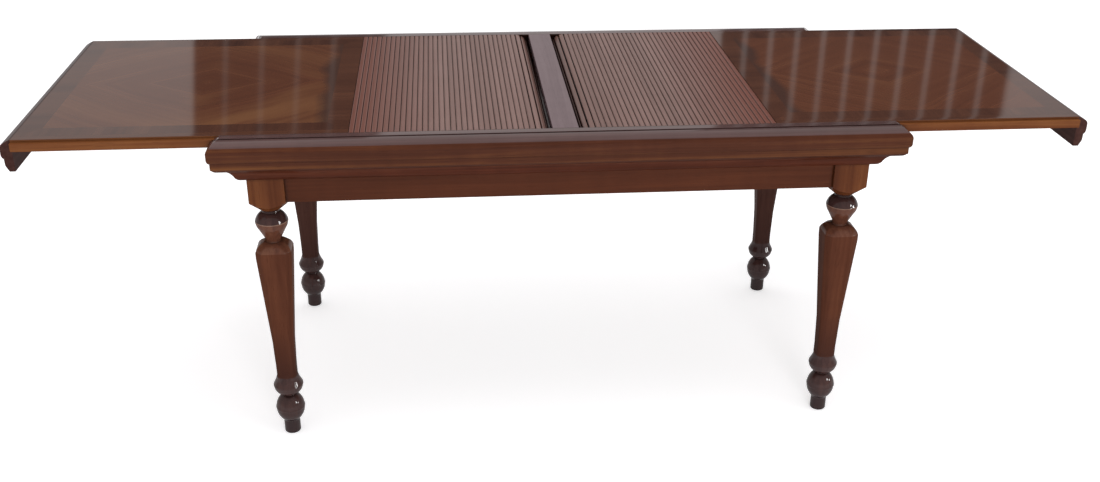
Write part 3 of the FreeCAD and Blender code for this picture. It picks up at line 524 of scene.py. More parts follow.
class Finish(Enum):
    """The finishes of the table's own pieces."""

    # Legs are stained a redder, more even brown; lacquer rubs off the arrises.
    TURNED = LegDarkerTowardsFoot(
        "turned_mahogany_lacquered", "3b1e15", "543022", "6b402d", contrast=0.7, wear=0.5, lacquer=0.06
    )
    # The back legs stand out of the light: a darker copy of the turned finish paints their shade.
    TURNED_BACK = LegDarkerTowardsFoot(
        "turned_mahogany_painted_shade", "321d18", "4a2f28", "604138", contrast=0.7, lacquer=0.1
    )
    # The vaults and waists are a more purple brown than the shaft, and carry more lacquer.
    SHOULDER = SolidWood(
        "shoulder_mahogany_lacquered", "3a221b", "5e392b", "76503d", Grain.ALONG_Z, contrast=0.9, lacquer=0.35
    )
    # The turnings are darker than the shaft, and carry more lacquer so that they shine more.
    TURNED_DEEP = LegDarkerTowardsFoot(
        "deep_turned_mahogany_lacquered", "271716", "3c2826", "523833", contrast=0.9, wear=0.4, lacquer=0.5,
        gloss_roughness=0.05, foot_tone="2a1c1d", undarkened_above=80.0, darkest_at=35.0,
    )
    # The ring's widest line is painted paler, a painted highlight where it catches the light.
    RUBBED = SolidWood(
        "ring_line_painted_highlight", "5a4236", "765b4e", "907365", Grain.ALONG_Z, lacquer=0.2, gloss_roughness=0.3
    )
    # The square of a leg is left nearer the wood's own orange, with a fine cross mottle.
    BLOCK = SolidWood(
        "mottled_mahogany_block_lacquered", "452213", "5c321c", "744527", Grain.ALONG_Z, band=30.0
    )
    # Aprons are sawn from straight stock: broad quiet bands, a little warmer than the legs.
    APRON_ALONG = SolidWood("apron_mahogany_lacquered", "3b1c10", "532b1a", "6a3a22", contrast=0.8)
    APRON_ACROSS = replace(APRON_ALONG, name="end_apron_mahogany_lacquered", grain=Grain.ALONG_Y)
    # Mouldings are run lengthways, so that their streaks follow the hollows, with golden flashes.
    MOULDED_ALONG = SolidWood(
        "moulded_mahogany_lacquered", "321810", "4d2a1c", "6e4427", streak=4.0, wear=0.7, gloss_roughness=0.22
    )
    MOULDED_ACROSS = replace(MOULDED_ALONG, name="end_moulded_mahogany_lacquered", grain=Grain.ALONG_Y)
    # The cove and the foot under it are stained as red and as dark as the aprons.
    COVE_ALONG = SolidWood("cove_mahogany_lacquered", "341a11", "522a1d", "683b27", streak=4.0, lacquer=0.08)
    COVE_ACROSS = replace(COVE_ALONG, name="end_cove_mahogany_lacquered", grain=Grain.ALONG_Y)
    # The rails' tops are polished like the leaves and mirror the room; their purple-grey colour paints that
    # haze in as a painted reflection.
    RAIL_TOP = SolidWood(
        "rail_top_mahogany_polished_painted_reflection", "3b2522", "4f3634", "624643", streak=4.0, wear=0.4, lacquer=0.9
    )
    # So are the tops of the leaves' moulded ends, which are darker.
    END_TOP = SolidWood(
        "end_top_mahogany_polished", "2c1a16", "3c2622", "4e342e", Grain.ALONG_Y, streak=4.0, wear=0.2,
        lacquer=0.25,
    )
    # The end grain of the leaves' moulded ends drank the stain and was never polished; their inner backs
    # share that dark as painted shade.
    END_BACK = SolidWood(
        "end_back_stained_mahogany_and_painted_shade", "2a1815", "412a26", "573c36", Grain.ALONG_Y, **UNPOLISHED
    )
    # Faces down the slot and inside the rails are painted nearly black as shade, dull and never polished.
    STAINED_DARK = SolidWood(
        "unpolished_mahogany_painted_shade", "1a0d0a", "2a1713", "38211b", Grain.ALONG_Y, **UNPOLISHED
    )
    # The leaves' edge strips were stained less and show orange.
    LIPPING = SolidWood("edge_mahogany_lacquered", "482310", "673a20", "82522e", streak=3.5, wear=0.6)
    # Their tops were stained and polished with the veneer, as dark as it.
    LIPPING_TOP = SolidWood(
        "edge_mahogany_stained_dark", "341a12", "4b2b1e", "5e3a29", streak=3.5, contrast=0.8, wear=0.5,
        **POLISHED,
    )
    # Crossbanding: the grain runs across the band, darker than the field that it frames.
    BAND_ENDS = SolidWood("crossband_veneer_polished", "381c13", "4b2b1e", "5c3828", contrast=0.8, **POLISHED)
    BAND_SIDES = replace(BAND_ENDS, name="side_crossband_veneer_polished", grain=Grain.ALONG_Y)
    FLAME = FlameVeneer(
        "flame_mahogany_veneer_polished", "432316", "57301f", "6b422c", band=40.0, contrast=0.6, **POLISHED
    )
    BALANCER = SolidWood("balancing_veneer", "3b2116", "553325", "6d4430", Grain.ALONG_Y, lacquer=0.2)
    # The bar and slats are paler and pinker, sanded across more and rubbed duller.
    BAR = SolidWood("bar_mahogany_lacquered", "574548", "685558", "766366", Grain.ALONG_Y, **RUBBED_DULL)
    SLAT = Slats(
        "slat_mahogany_lacquered", "61463f", "73564f", "84665f", Grain.ALONG_Y, wear=0.4, recess_shade=0.9,
        recess_shade_reach=14.0, **RUBBED_DULL,
    )
    # Beech that nobody sees is left planed and unstained: pale, pinkish, small dark flecks, no gloss.
    BEECH = SolidWood("planed_beech", "9a7550", "b8936a", "cdab80", streak=3.0, wear=0.1, **UNPOLISHED)
    BEECH_ACROSS = replace(BEECH, name="planed_beech_across", grain=Grain.ALONG_Y)
    CANVAS = WovenCanvas()
    STEEL = TurnedSteel()

    def material(self) -> bpy.types.Material:
        """Gives this finish's material, made the first time that it is asked for."""
        return bpy.data.materials.get(self.value.name) or self.value.material()


# ------------------------------------------------------------------------------------------- geometry
def arc(start: Point, end: Point, radius: float, step: float) -> list[Point]:
    """Samples the shorter arc between two points.

    Args:
        start: Where the arc starts.
        end: Where it ends.
        radius: Its radius, positive where it turns left.
        step: The most that one chord turns, in degrees.

    Returns:
        The points between the two, without them.
    """
    run, rise = end[0] - start[0], end[1] - start[1]
    chord = math.hypot(run, rise)
    size = abs(radius)
    reach = math.sqrt(max(radius * radius - chord * chord / 4, 0.0)) * math.copysign(1, radius)
    x, y = (start[0] + end[0]) / 2 - rise / chord * reach, (start[1] + end[1]) / 2 + run / chord * reach
    first = math.atan2(start[1] - y, start[0] - x)
    turn = 2 * math.asin(min(chord / 2 / size, 1.0)) * math.copysign(1, radius)
    count = max(math.ceil(math.degrees(abs(turn)) / step), 1)
    angles = [first + turn * i / count for i in range(1, count)]
    return [(x + size * math.cos(angle), y + size * math.sin(angle)) for angle in angles]


def trace(corners: Sequence[Corner], ease: float, step: float = 8.0, closed: bool = True) -> list[Point]:
    """Draws an outline through corners, its sharp corners eased.

    Args:
        corners: Corners, each with the radius of the arc that leads to it where that isn't straight.
        ease: How far an eased corner is cut back.
        step: The most that one chord of an arc turns, in degrees.
        closed: Whether the outline returns to its start.

    Returns:
        The outline's points.
    """
    line: list[Point] = []
    for index, corner in enumerate(corners):
        if len(corner) == 3 and (closed or index):
            line += arc(corners[index - 1][:2], corner[:2], corner[2], step)
        line.append(corner[:2])
    if ease <= 0:
        return line
    eased: list[Point] = []
    for index, here in enumerate(line):
        before, after = line[index - 1], line[(index + 1) % len(line)]
        back = (here[0] - before[0], here[1] - before[1])
        on = (after[0] - here[0], after[1] - here[1])
        lengths = math.hypot(*back), math.hypot(*on)
        turn = abs(math.atan2(back[0] * on[1] - back[1] * on[0], back[0] * on[0] + back[1] * on[1]))
        is_end = not closed and index in (0, len(line) - 1)
        if is_end or math.degrees(turn) < 20:
            eased.append(here)
            continue
        cut = min(ease, lengths[0] * 0.4, lengths[1] * 0.4)
        near = (here[0] - back[0] / lengths[0] * cut, here[1] - back[1] / lengths[0] * cut)
        far = (here[0] + on[0] / lengths[1] * cut, here[1] + on[1] / lengths[1] * cut)
        middle = tuple(0.25 * n + 0.5 * h + 0.25 * f for n, h, f in zip(near, here, far, strict=True))
        eased += [near, middle, far]
    return eased


class Run(Enum):
    """Which way a length of section runs; the value puts (run, across, up) in order."""

    ALONG_X = (0, 1, 2)
    ALONG_Y = (1, 0, 2)

    def place(self, run: float, across: float, up: float) -> Vector:
        """Gives the point in metres."""
        given = (run, across, up)
        return Vector(given[axis] for axis in self.value) * MM


def loft(rings: Sequence[Sequence[Vector]], mesh: Mesh) -> None:
    """Joins rings of the same number of points with faces, and closes both ends.

    Args:
        rings: The rings, in order.
        mesh: Where the faces go.
    """
    made = [[mesh.verts.new(point) for point in ring] for ring in rings]
    count = len(made[0])
    for lower, upper in zip(made, made[1:]):
        for i in range(count):
            j = (i + 1) % count
            mesh.faces.new((lower[i], lower[j], upper[j], upper[i]))
    mesh.faces.new(made[0][::-1])
    mesh.faces.new(made[-1])


def cut_back(mesh: Mesh, edges: list[bmesh.types.BMEdge], ease: float) -> None:
    """Takes the sharpness off edges, in two small facets.

    Args:
        mesh: The mesh.
        edges: Its sharp edges.
        ease: How far they are cut back.
    """
    settings = {"segments": 2, "profile": 0.5, "affect": "EDGES", "clamp_overlap": True}
    bmesh.ops.bevel(mesh, geom=edges, offset=ease * MM, **settings)


def prism(section: Sequence[Point], run: Run, low: float, high: float, mesh: Mesh | None = None) -> Mesh:
    """Makes a straight length of a section.

    Args:
        section: The outline, across and up.
        run: Which way it runs.
        low: Where it starts.
        high: Where it ends.
        mesh: Where the faces go, if not in a new mesh.

    Returns:
        The mesh.
    """
    mesh = mesh or bmesh.new()
    loft([[run.place(at, *point) for point in section] for at in (low, high)], mesh)
    return mesh


def rectangle(low: Point, high: Point) -> list[Corner]:
    """Gives the corners of a rectangle."""
    return [low, (high[0], low[1]), high, (low[0], high[1])]


def stand(name: str, shape: Mesh | bpy.types.ID) -> bpy.types.Object:
    """Puts an object into the scene.

    Args:
        name: Its name.
        shape: Its shape, which is freed if it is a mesh in the making; or a lamp's or camera's data.

    Returns:
        The object.
    """
    data = shape
    if isinstance(shape, Mesh):
        data = bpy.data.meshes.new(name)
        shape.to_mesh(data)
        shape.free()
    made = bpy.data.objects.new(name, data)
    bpy.context.scene.collection.objects.link(made)
    return made


def carve(target: Mesh, tool: Mesh, operation: str) -> Mesh:
    """Keeps or removes what a tool shares with a mesh.

    Args:
        target: The mesh; it is freed.
        tool: The tool; it is freed.
        operation: INTERSECT or DIFFERENCE.

    Returns:
        The result.
    """
    objects = []
    for part in (target, tool):
        bmesh.ops.recalc_face_normals(part, faces=part.faces)
        objects.append(stand("carving", part))
    modifier = objects[0].modifiers.new("carve", "BOOLEAN")
    modifier.operation, modifier.solver, modifier.object = operation, "EXACT", objects[1]
    bpy.context.view_layer.update()
    evaluated = objects[0].evaluated_get(bpy.context.evaluated_depsgraph_get())
    result = bmesh.new()
    result.from_mesh(evaluated.to_mesh())
    evaluated.to_mesh_clear()
    for item in objects:
        data = item.data
        bpy.data.objects.remove(item)
        bpy.data.meshes.remove(data)
    return result


class Side(Enum):
    """The end of the table that a piece belongs to; the left one is the right one turned half round."""

    RIGHT = "right"
    LEFT = "left"

    def turn(self) -> Matrix:
        """Gives the turn that brings a right-hand piece to this side."""
        return Matrix.Rotation(math.pi if self is Side.LEFT else 0.0, 4, "Z")


@dataclass
class Assembly:
    """A sub-assembly of the table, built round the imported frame's nodes."""

    nodes: dict[str, bpy.types.Object]

    def piece(
        self,
        node: str,
        word: str,
        mesh: Mesh,
        finishes: Sequence[Finish],
        slot: str,
        body: str = "frame",
        smooth: float = 32.0,
        at: Point = (0.0, 0.0),
    ) -> bpy.types.Object:
        """Turns a mesh into a dressed piece that rides on its body.

        Args:
            node: The frame's node that it stands for, and the start of its name.
            word: The end of its name.
            mesh: Its shape, in metres; it is freed.
            finishes: Its finishes, in the order that its faces number them.
            slot: The record's material slot; not used.
            body: The body that it moves with.
            smooth: Edges sharper than this stay sharp, in degrees.
            at: Where it stands on the floor.

        Returns:
            The piece.
        """
        bmesh.ops.recalc_face_normals(mesh, faces=mesh.faces)
        made = stand(f"{node}_{word}", mesh)
        for finish in finishes:
            made.data.materials.append(finish.material())
        made.data.shade_smooth()
        made.data.set_sharp_from_angle(angle=math.radians(smooth))
        made.location = (at[0] * MM, at[1] * MM, 0.0)
        weighted = made.modifiers.new("even_shading", "WEIGHTED_NORMAL")
        weighted.keep_sharp = True
        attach(made, body)
        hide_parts(node)
        LOG.info("%s: %d faces, rides on %s", made.name, len(made.data.polygons), body)
        return made


# ---------------------------------------------------------------------------------------- the pieces
@dataclass
class Leg(Assembly):
    """A leg: turned foot, ball and knob, an eight-sided shaft vaulted over, waist, ring, and square block."""

    x: float = 675.0
    y: float = 339.0
    top: float = 695.0
    half_block: float = 41.0
    block_low: float = 636.0
    neck: float = 603.0
    vault: float = 525.0
    flare: Point = (150.0, 190.0)  # where the shaft's faces start inside the flare, and where it ends
    highlight_line: Point = (575.5, 578.0)  # the ring's widest line, painted paler as a highlight
    shaft: Point = (163.0, 506.0)  # the plain shaft, between the turnings
    waist: float = 575.5  # the top of the waist and of the ring's paler underside
    neck_shade: float = 5.0  # how far up the block's foot the dark turnings' finish runs, as painted shade under the block
    arris: float = 0.9  # how far the shaft's and block's arrises are cut back
    broad: tuple[float, float, float] = (23.2, 25.4, 41.0)  # half widths: flare, above it, shoulder
    corner: tuple[float, float, float] = (27.3, 29.9, 48.2)  # the same, over the faces on its corners
    score: float = 0.7  # depth of the scored lines that end a bead
    least_step: float = 0.004  # rings nearer to each other than this are one

    def turning(self) -> list[Corner]:
        """Gives the turned outline, from the foot up: radius, height, and the arc that leads there.

        Returns:
            The corners.
        """
        ball, knob, ring = 35.3, 35.9, 37.8
        block = self.half_block * math.sqrt(2)
        return [
            (15.7, 0.0), (19.7, 4.0, 4.0), (19.7, 34.0), (22.7, 40.0, -10.0),
            (ball - self.score, 69.6, 44.0), (ball, 71.0), (ball, 75.0), (ball - self.score, 76.4),
            (16.0, 108.0, 44.0), (16.0, 110.0),
            (knob - self.score, 132.8, 26.0), (knob, 134.0), (knob, 138.0), (knob - self.score, 139.2),
            (21.2, 190.0, -108.0), (15.0, 191.0),  # the flare, and inside the shaft
            (15.0, 523.0), (18.0, 524.0), (19.2, 534.0, -12.0), (31.8, 558.0),  # the waist
            (ring - self.score, 571.6, 26.0), (ring, 573.0), (ring, 578.0), (ring - self.score, 579.4),
            (20.0, 600.0, 34.0), (19.0, self.neck),
            (block, self.block_low - self.arris), (block, self.top + 5.0),
        ]

    def facets(self, widths: Sequence[float], vault: float) -> list[Corner]:
        """Gives the outline of the shaft's faces.

        Args:
            widths: Its half width in the flare, above that, and at the shoulder.
            vault: The radius of the arc that vaults it over.

        Returns:
            The corners, from the lowest up.
        """
        low, above, shoulder = widths
        straight = [(low, self.flare[0]), (low, self.flare[1]), (above, 265.0, -1300.0)]
        return [*straight, (shoulder, 490.0), (shoulder, 504.0), (20.0, self.vault, vault)]

    @staticmethod
    def across(line: Sequence[Point], height: float) -> float:
        """Reads an outline at a height.

        Args:
            line: Its points, from the lowest up.
            height: The height.

        Returns:
            The distance from the axis, or 0 above or below the outline.
        """
        for (r0, z0), (r1, z1) in zip(line, line[1:]):
            if z0 <= height <= z1 and z1 > z0:
                return r0 + (r1 - r0) * (height - z0) / (z1 - z0)
        return 0.0

    def ring(self, height: float, turned: float, broad: float, corner: float) -> list[Vector]:
        """Makes one ring of the leg.

        Args:
            height: Its height.
            turned: Radius of the turning there.
            broad: Half width over the shaft's broad faces, or 0.
            corner: Half width over the faces on its corners, or 0.

        Returns:
            Its 64 points.
        """
        anchor = math.radians(33.5)
        if broad:
            anchor = math.atan2(corner / broad - math.sqrt(0.5), math.sqrt(0.5))
        elif height > self.neck and turned > self.half_block:
            anchor = math.acos(self.half_block / turned)
        half = self.arris / max(turned, broad) * 1.1
        anchor = min(max(anchor, math.radians(4)), EIGHTH - half * 1.6)
        angles = [(anchor - half) * i / 5 for i in range(6)]
        angles += [anchor + half, (anchor + half + EIGHTH) / 2, EIGHTH]
        quarter = angles + [2 * EIGHTH - a for a in reversed(angles[1:-1])]
        points = []
        for turn in range(4):
            for angle in quarter:
                reach = turned
                folded = min(angle, 2 * EIGHTH - angle)
                if broad:
                    octagon = min(broad / math.cos(folded), corner / math.cos(EIGHTH - folded))
                    reach = max(turned, octagon)
                elif height > self.neck:
                    square = self.half_block / math.cos(folded)
                    reach = min(turned, square, self.half_block * math.sqrt(2) - self.arris)
                whole = angle + 2 * EIGHTH * turn
                points.append(Vector((reach * math.cos(whole), reach * math.sin(whole), height)) * MM)
        return points

    def shape(self) -> Mesh:
        """Lofts the leg through all the heights where its outlines change.

        Returns:
            The mesh.
        """
        turned = trace(self.turning(), ease=0.35, step=9.0, closed=False)
        faces = self.facets(self.broad, 27.0), self.facets(self.corner, 34.2)
        broad, corner = (trace(line, ease=0.0, step=6.0, closed=False) for line in faces)
        heights = {round(z, 3) for _, z in turned if z < self.flare[1] or z > self.vault}
        heights |= {round(z, 3) for _, z in broad + corner}
        heights |= {self.flare[0] + 2 * i for i in range(20)} | {self.neck + 1.65 * i for i in range(21)}
        heights |= {self.top - self.arris, self.top, self.vault + 0.01, *self.highlight_line, *self.shaft}
        heights = sorted(z for z in heights if 0 <= z <= self.top)
        kept = [z for z, after in zip(heights, heights[1:] + [math.inf]) if after - z > self.least_step]
        lines = (turned, broad, corner)
        rings = [self.ring(z, *(self.across(line, z) for line in lines)) for z in kept]
        rings[-1] = [Vector((p.x * 0.985, p.y * 0.985, p.z)) for p in rings[-1]]
        mesh = bmesh.new()
        loft(rings, mesh)
        for face in mesh.faces:
            face.material_index = self.finish_at(face.calc_center_median().z / MM)
        return mesh

    def finish_at(self, height: float) -> int:
        """Gives the number of the finish at a height.

        Args:
            height: The height.

        Returns:
            0 for the shaft, 1 the block, 2 the painted highlight line, 3 the turnings and 4 the shoulder and
            waist.
        """
        # Painted shade: a little way up the block's foot keeps the turnings' dark finish.
        if height > self.neck + self.neck_shade:
            return 1
        # The painted highlight along the ring's widest line.
        if self.highlight_line[0] < height < self.highlight_line[1]:
            return 2
        if self.shaft[1] < height < self.waist:
            return 4
        return 0 if self.shaft[0] < height < self.shaft[1] else 3

    def build(self) -> None:
        """Builds the four legs."""
        for word_y, side_y, shaft in (("back", 1, Finish.TURNED_BACK), ("front", -1, Finish.TURNED)):
            for word_x, side_x in (("right", 1), ("left", -1)):
                node = f"leg_{word_y}_{word_x}"
                finishes = [shaft, Finish.BLOCK, Finish.RUBBED, Finish.TURNED_DEEP, Finish.SHOULDER]
                place = (self.x * side_x, self.y * side_y)
                self.piece(node, "turned", self.shape(), finishes, "turned_mahogany", at=place)


@dataclass
class Aprons(Assembly):
    """The four apron boards between the legs' blocks."""

    low: float = 632.0
    high: float = 695.0
    thickness: float = 25.0
    ease: float = 1.0

    def build(self) -> None:
        """Builds the boards."""
        for word, run, face, reach, finish in (
            ("back", Run.ALONG_X, 370.0, 634.0, Finish.APRON_ALONG),
            ("front", Run.ALONG_X, -370.0, 634.0, Finish.APRON_ALONG),
            ("right", Run.ALONG_Y, 706.0, 298.0, Finish.APRON_ACROSS),
            ("left", Run.ALONG_Y, -706.0, 298.0, Finish.APRON_ACROSS),
        ):
            low, high = sorted((face, face - math.copysign(self.thickness, face)))
            section = trace(rectangle((low, self.low), (high, self.high)), ease=self.ease)
            board = prism(section, run, -reach, reach)
            self.piece(f"{word}_apron", "board", board, [finish], "apron_mahogany")


@dataclass
class Cornice(Assembly):
    """The mitred cornice under the top: a foot moulding, a deep cove, and an ovolo that carries the edge."""

    section: tuple[Corner, ...] = (
        (104.0, 695.0), (69.0, 695.0), (50.0, 704.0, 20.0), (49.0, 705.0),  # the foot
        (27.0, 731.0, -48.0), (25.0, 731.0), (7.0, 741.0, 20.0),  # the cove and the ovolo
        (50.4, 741.0), (50.4, 707.0), (104.0, 707.0),  # the hollow behind
    )
    notch_depth: float = 26.0  # the ends are notched for the leaves' moulded ends
    notch_floor: float = 726.6
    notch_reach: float = 383.0
    cove_top: float = 730.5

    def outline(self) -> list[Point]:
        """Gives the section as (distance in from the edge, height)."""
        flipped = [(-corner[0], *corner[1:]) for corner in self.section]
        return [(-across, up) for across, up in trace(flipped, ease=0.5, step=7.0)]

    def build(self) -> None:
        """Builds the four mitred sides."""
        for word, sign in (("back", 1), ("front", -1), ("right", 1), ("left", -1)):
            at_end = word in ("right", "left")
            run, reach, face = Run.ALONG_X, HALF_LENGTH, HALF_WIDTH
            finishes = [Finish.MOULDED_ALONG, Finish.COVE_ALONG]
            if at_end:
                run, reach, face = Run.ALONG_Y, face, reach
                finishes = [Finish.MOULDED_ACROSS, Finish.COVE_ACROSS]
            mesh = bmesh.new()
            rings = [
                [run.place((reach - inset) * end, (face - inset) * sign, up) for inset, up in self.outline()]
                for end in (-1, 1)
            ]
            loft(rings, mesh)
            if at_end:
                low, high = sorted(((face - self.notch_depth) * sign, (face + 5.0) * sign))
                notch = rectangle((low, self.notch_floor), (high, 750.0))
                mesh = carve(mesh, prism(notch, run, -self.notch_reach, self.notch_reach), "DIFFERENCE")
            for part in mesh.faces:
                if part.calc_center_median().z < self.cove_top * MM:
                    part.material_index = 1
            self.piece(f"{word}_cornice", "moulding", mesh, finishes, "moulded_mahogany")


@dataclass(frozen=True)
class MouldedEdge:
    """The edge of the top: fillet, nose and brow, as (distance in from the edge, height)."""

    profile: tuple[Corner, ...] = (
        (5.5, 741.0), (5.5, 757.0), (4.0, 757.0),
        (0.0, 769.0, 16.0), (0.0, 781.0), (9.0, 792.5, 14.0),
    )

    def from_edge(self, edge: float) -> list[Corner]:
        """Gives the corners for an edge that far from the middle."""
        return [(edge - corner[0], *corner[1:]) for corner in self.profile]


@dataclass
class TopRails(Assembly):
    """The two long rails of the top, grooved for leaves and slats, with a quirk beside the lip."""

    inner: float = 383.0  # the faces that look inwards
    groove: float = 398.6  # the bottom of the slats' groove
    low: float = 741.0
    lip: float = 795.0  # the underside of the lip over the groove
    slope: float = 24.0  # how far in from the end the top is reached
    edge: MouldedEdge = MouldedEdge()
    bend_reach: float = 84.2
    brow: float = 790.5  # above this the rails are polished flat with the top, their colour a painted reflection

    def section(self) -> list[Corner]:
        """Gives the back rail's section.

        Returns:
            The corners, across and up.
        """
        return [
            *self.edge.from_edge(HALF_WIDTH),
            (407.5, 798.5, 95.0), (407.5, 795.5), (404.0, 795.5), (404.0, TOP),  # the quirk
            (self.inner, TOP), (self.inner, self.lip), (self.groove, self.lip), (self.groove, 791.6),
            (394.0, 791.6), (394.0, 775.6), (self.inner, 775.6), (self.inner, self.low),
        ]

    def ends(self) -> Mesh:
        """Makes a long block with the moulded edge on both its ends, for the rails to be cut from.

        Returns:
            The mesh.
        """
        end = [(HALF_LENGTH - 5.5, 700.0), *self.edge.from_edge(HALF_LENGTH)]
        end += [(HALF_LENGTH - self.slope, TOP, 60.0), (HALF_LENGTH - self.slope - 2.0, 830.0)]
        end = trace(end, ease=0.0, step=7.0, closed=False)
        return prism([*end, *[(-x, z) for x, z in reversed(end)]], Run.ALONG_Y, -500.0, 500.0)

    def finish_at(self, across: float, height: float) -> int:
        """Gives the number of the finish at a place.

        Args:
            across: How far it is from the table's middle line.
            height: Its height.

        Returns:
            0 for the moulding, 1 for the faces inside, painted dark as shade, and 2 for the top, painted
            purple-grey as a reflection.
        """
        if across < self.inner + 0.1 or (across < self.groove + 0.1 and height < self.lip + 0.5):
            return 1
        return 2 if height > self.brow and across < HALF_WIDTH - 2.5 else 0

    def build(self) -> None:
        """Builds both rails."""
        for word, sign in (("back", 1), ("front", -1)):
            run = [(y * sign, z) for y, z in trace(self.section(), ease=0.45, step=7.0)]
            rail = prism(run, Run.ALONG_X, -HALF_LENGTH, HALF_LENGTH)
            rail = carve(rail, self.ends(), "INTERSECT")
            near, far = sorted(((self.inner - 3.0) * sign, self.groove * sign))
            pocket = rectangle((near, 730.0), (far, self.lip))
            rail = carve(rail, prism(pocket, Run.ALONG_X, -self.bend_reach, self.bend_reach), "DIFFERENCE")
            for face in rail.faces:
                middle = face.calc_center_median() / MM
                face.material_index = self.finish_at(abs(middle.y), middle.z)
            finishes = [Finish.MOULDED_ALONG, Finish.STAINED_DARK, Finish.RAIL_TOP]
            self.piece(f"{word}_top_rail", "moulding", rail, finishes, "moulded_mahogany")


@dataclass
class CentreBar(Assembly):
    """The fixed bar across the middle, with a tongue under each lip."""

    half: float = 29.5
    tongue: float = 397.6

    def build(self) -> None:
        """Builds the bar."""
        mesh = bmesh.new()
        for top, ease, low, high in (
            (TOP, 1.0, -FACE, FACE),
            (TONGUE_TOP, 0.6, -self.tongue, -FACE),
            (TONGUE_TOP, 0.6, FACE, self.tongue),
        ):
            section = trace(rectangle((-self.half, BOARD_LOW), (self.half, top)), ease=ease)
            prism(section, Run.ALONG_Y, low, high, mesh)
        self.piece("centre_bar", "board", mesh, [Finish.BAR], "tambour_mahogany")


@dataclass
class Leaf(Assembly):
    """A leaf: veneered panel, two lippings with tongues, and a moulded outer end."""

    side: Side
    inner: float = 484.0
    rebate: float = 500.0
    outer: float = 1204.5
    nose: float = 1229.5
    panel_half: float = 361.0
    tongue: float = 392.9
    crossband: float = 50.0
    end_low: float = 727.0
    joint_drop: float = 0.12  # how far the eased corner of a lipping drops at its glued joint
    edge: MouldedEdge = MouldedEdge()

    def build(self) -> None:
        """Builds the leaf."""
        body = f"{self.side.value}_leaf"
        veneers = [Finish.BALANCER, Finish.FLAME, Finish.BAND_ENDS, Finish.BAND_SIDES]
        mouldings = [Finish.MOULDED_ACROSS, Finish.END_BACK, Finish.END_TOP]
        for part, word, mesh, finishes, slot in (
            ("panel", "veneered", self.panel(), veneers, "flame_veneer"),
            ("lippings", "strips", self.lippings(), [Finish.LIPPING, Finish.LIPPING_TOP], "edge_mahogany"),
            ("end_moulding", "run", self.end(), mouldings, "moulded_mahogany"),
        ):
            mesh.transform(self.side.turn())
            self.piece(f"{body}_{part}", word, mesh, finishes, slot, body)

    def panel(self) -> Mesh:
        """Makes the panel, its face divided into the field and the mitred crossbands.

        Returns:
            The mesh.
        """
        section = [
            (self.rebate, BOARD_LOW), (self.outer, BOARD_LOW), (self.outer, TOP),
            (self.inner, TOP), (self.inner, SLAT_FLOOR), (self.rebate, SLAT_FLOOR),
        ]
        mesh = prism(section, Run.ALONG_Y, -self.panel_half, self.panel_half)
        face = next(f for f in mesh.faces if all(abs(v.co.z - TOP * MM) < 1e-6 for v in f.verts))
        rim = list(face.verts)
        middle = face.calc_center_median()
        mesh.faces.remove(face)
        field = []
        for vert in rim:
            way = vert.co - middle
            inward = Vector((math.copysign(1, way.x), math.copysign(1, way.y), 0)) * self.crossband * MM
            field.append(mesh.verts.new(vert.co - inward))
        mesh.faces.new(field).material_index = 1
        for i in range(4):
            j = (i + 1) % 4
            band = mesh.faces.new((rim[i], rim[j], field[j], field[i]))
            band.material_index = 2 if abs(rim[i].co.x - rim[j].co.x) < 1e-6 else 3
        return mesh

    def lippings(self) -> Mesh:
        """Makes the two lippings, cut away below where the canvas is clamped.

        Returns:
            The mesh.
        """
        mesh = bmesh.new()
        spans = ((self.inner, self.rebate, SLAT_FLOOR), (self.rebate, self.outer, BOARD_LOW))
        for sign in (-1, 1):
            for low, high, floor in spans:
                section = [
                    (self.panel_half, floor), (self.tongue, floor), (self.tongue, TONGUE_TOP),
                    (FACE, TONGUE_TOP), (FACE, TOP), (self.panel_half, TOP),
                ]
                line = [(y * sign, self.squared(y, z)) for y, z in trace(section, ease=0.7)]
                prism(line, Run.ALONG_X, low, high, mesh)
        for face in mesh.faces:
            if face.calc_center_median().z > (TOP - 0.5) * MM:
                face.material_index = 1
        return mesh

    def squared(self, y: float, z: float) -> float:
        """Keeps the top of the glued joint with the panel nearly square.

        Args:
            y: A point's distance from the table's middle line.
            z: Its height in the eased section.

        Returns:
            Its height: near the joint that of the top, but for a small drop at the joint itself.
        """
        distance = y - self.panel_half
        if distance < 0.75 and z > TOP - 0.75:
            return TOP - (self.joint_drop if distance < 0.1 else 0.0)
        return z

    def end(self) -> Mesh:
        """Makes the moulded outer end.

        Returns:
            The mesh.
        """
        foot = [(self.outer, self.end_low), (self.nose - 12.4, self.end_low)]
        section = [*foot, *self.edge.from_edge(self.nose), (self.nose - 24.0, TOP, 60.0), (self.outer, TOP)]
        mesh = prism(trace(section, ease=0.45, step=7.0), Run.ALONG_Y, -FACE, FACE)
        mesh.faces.ensure_lookup_table()
        cut_back(mesh, [edge for face in mesh.faces[-2:] for edge in face.edges], 0.4)
        for face in mesh.faces:
            middle = face.calc_center_median() / MM
            # End grain, and the inner back, which is painted dark as shade.
            if abs(middle.y) > FACE - 0.1 or middle.x < self.outer + 0.1:
                face.material_index = 1
            elif middle.z > 789.0:
                face.material_index = 2
        return mesh


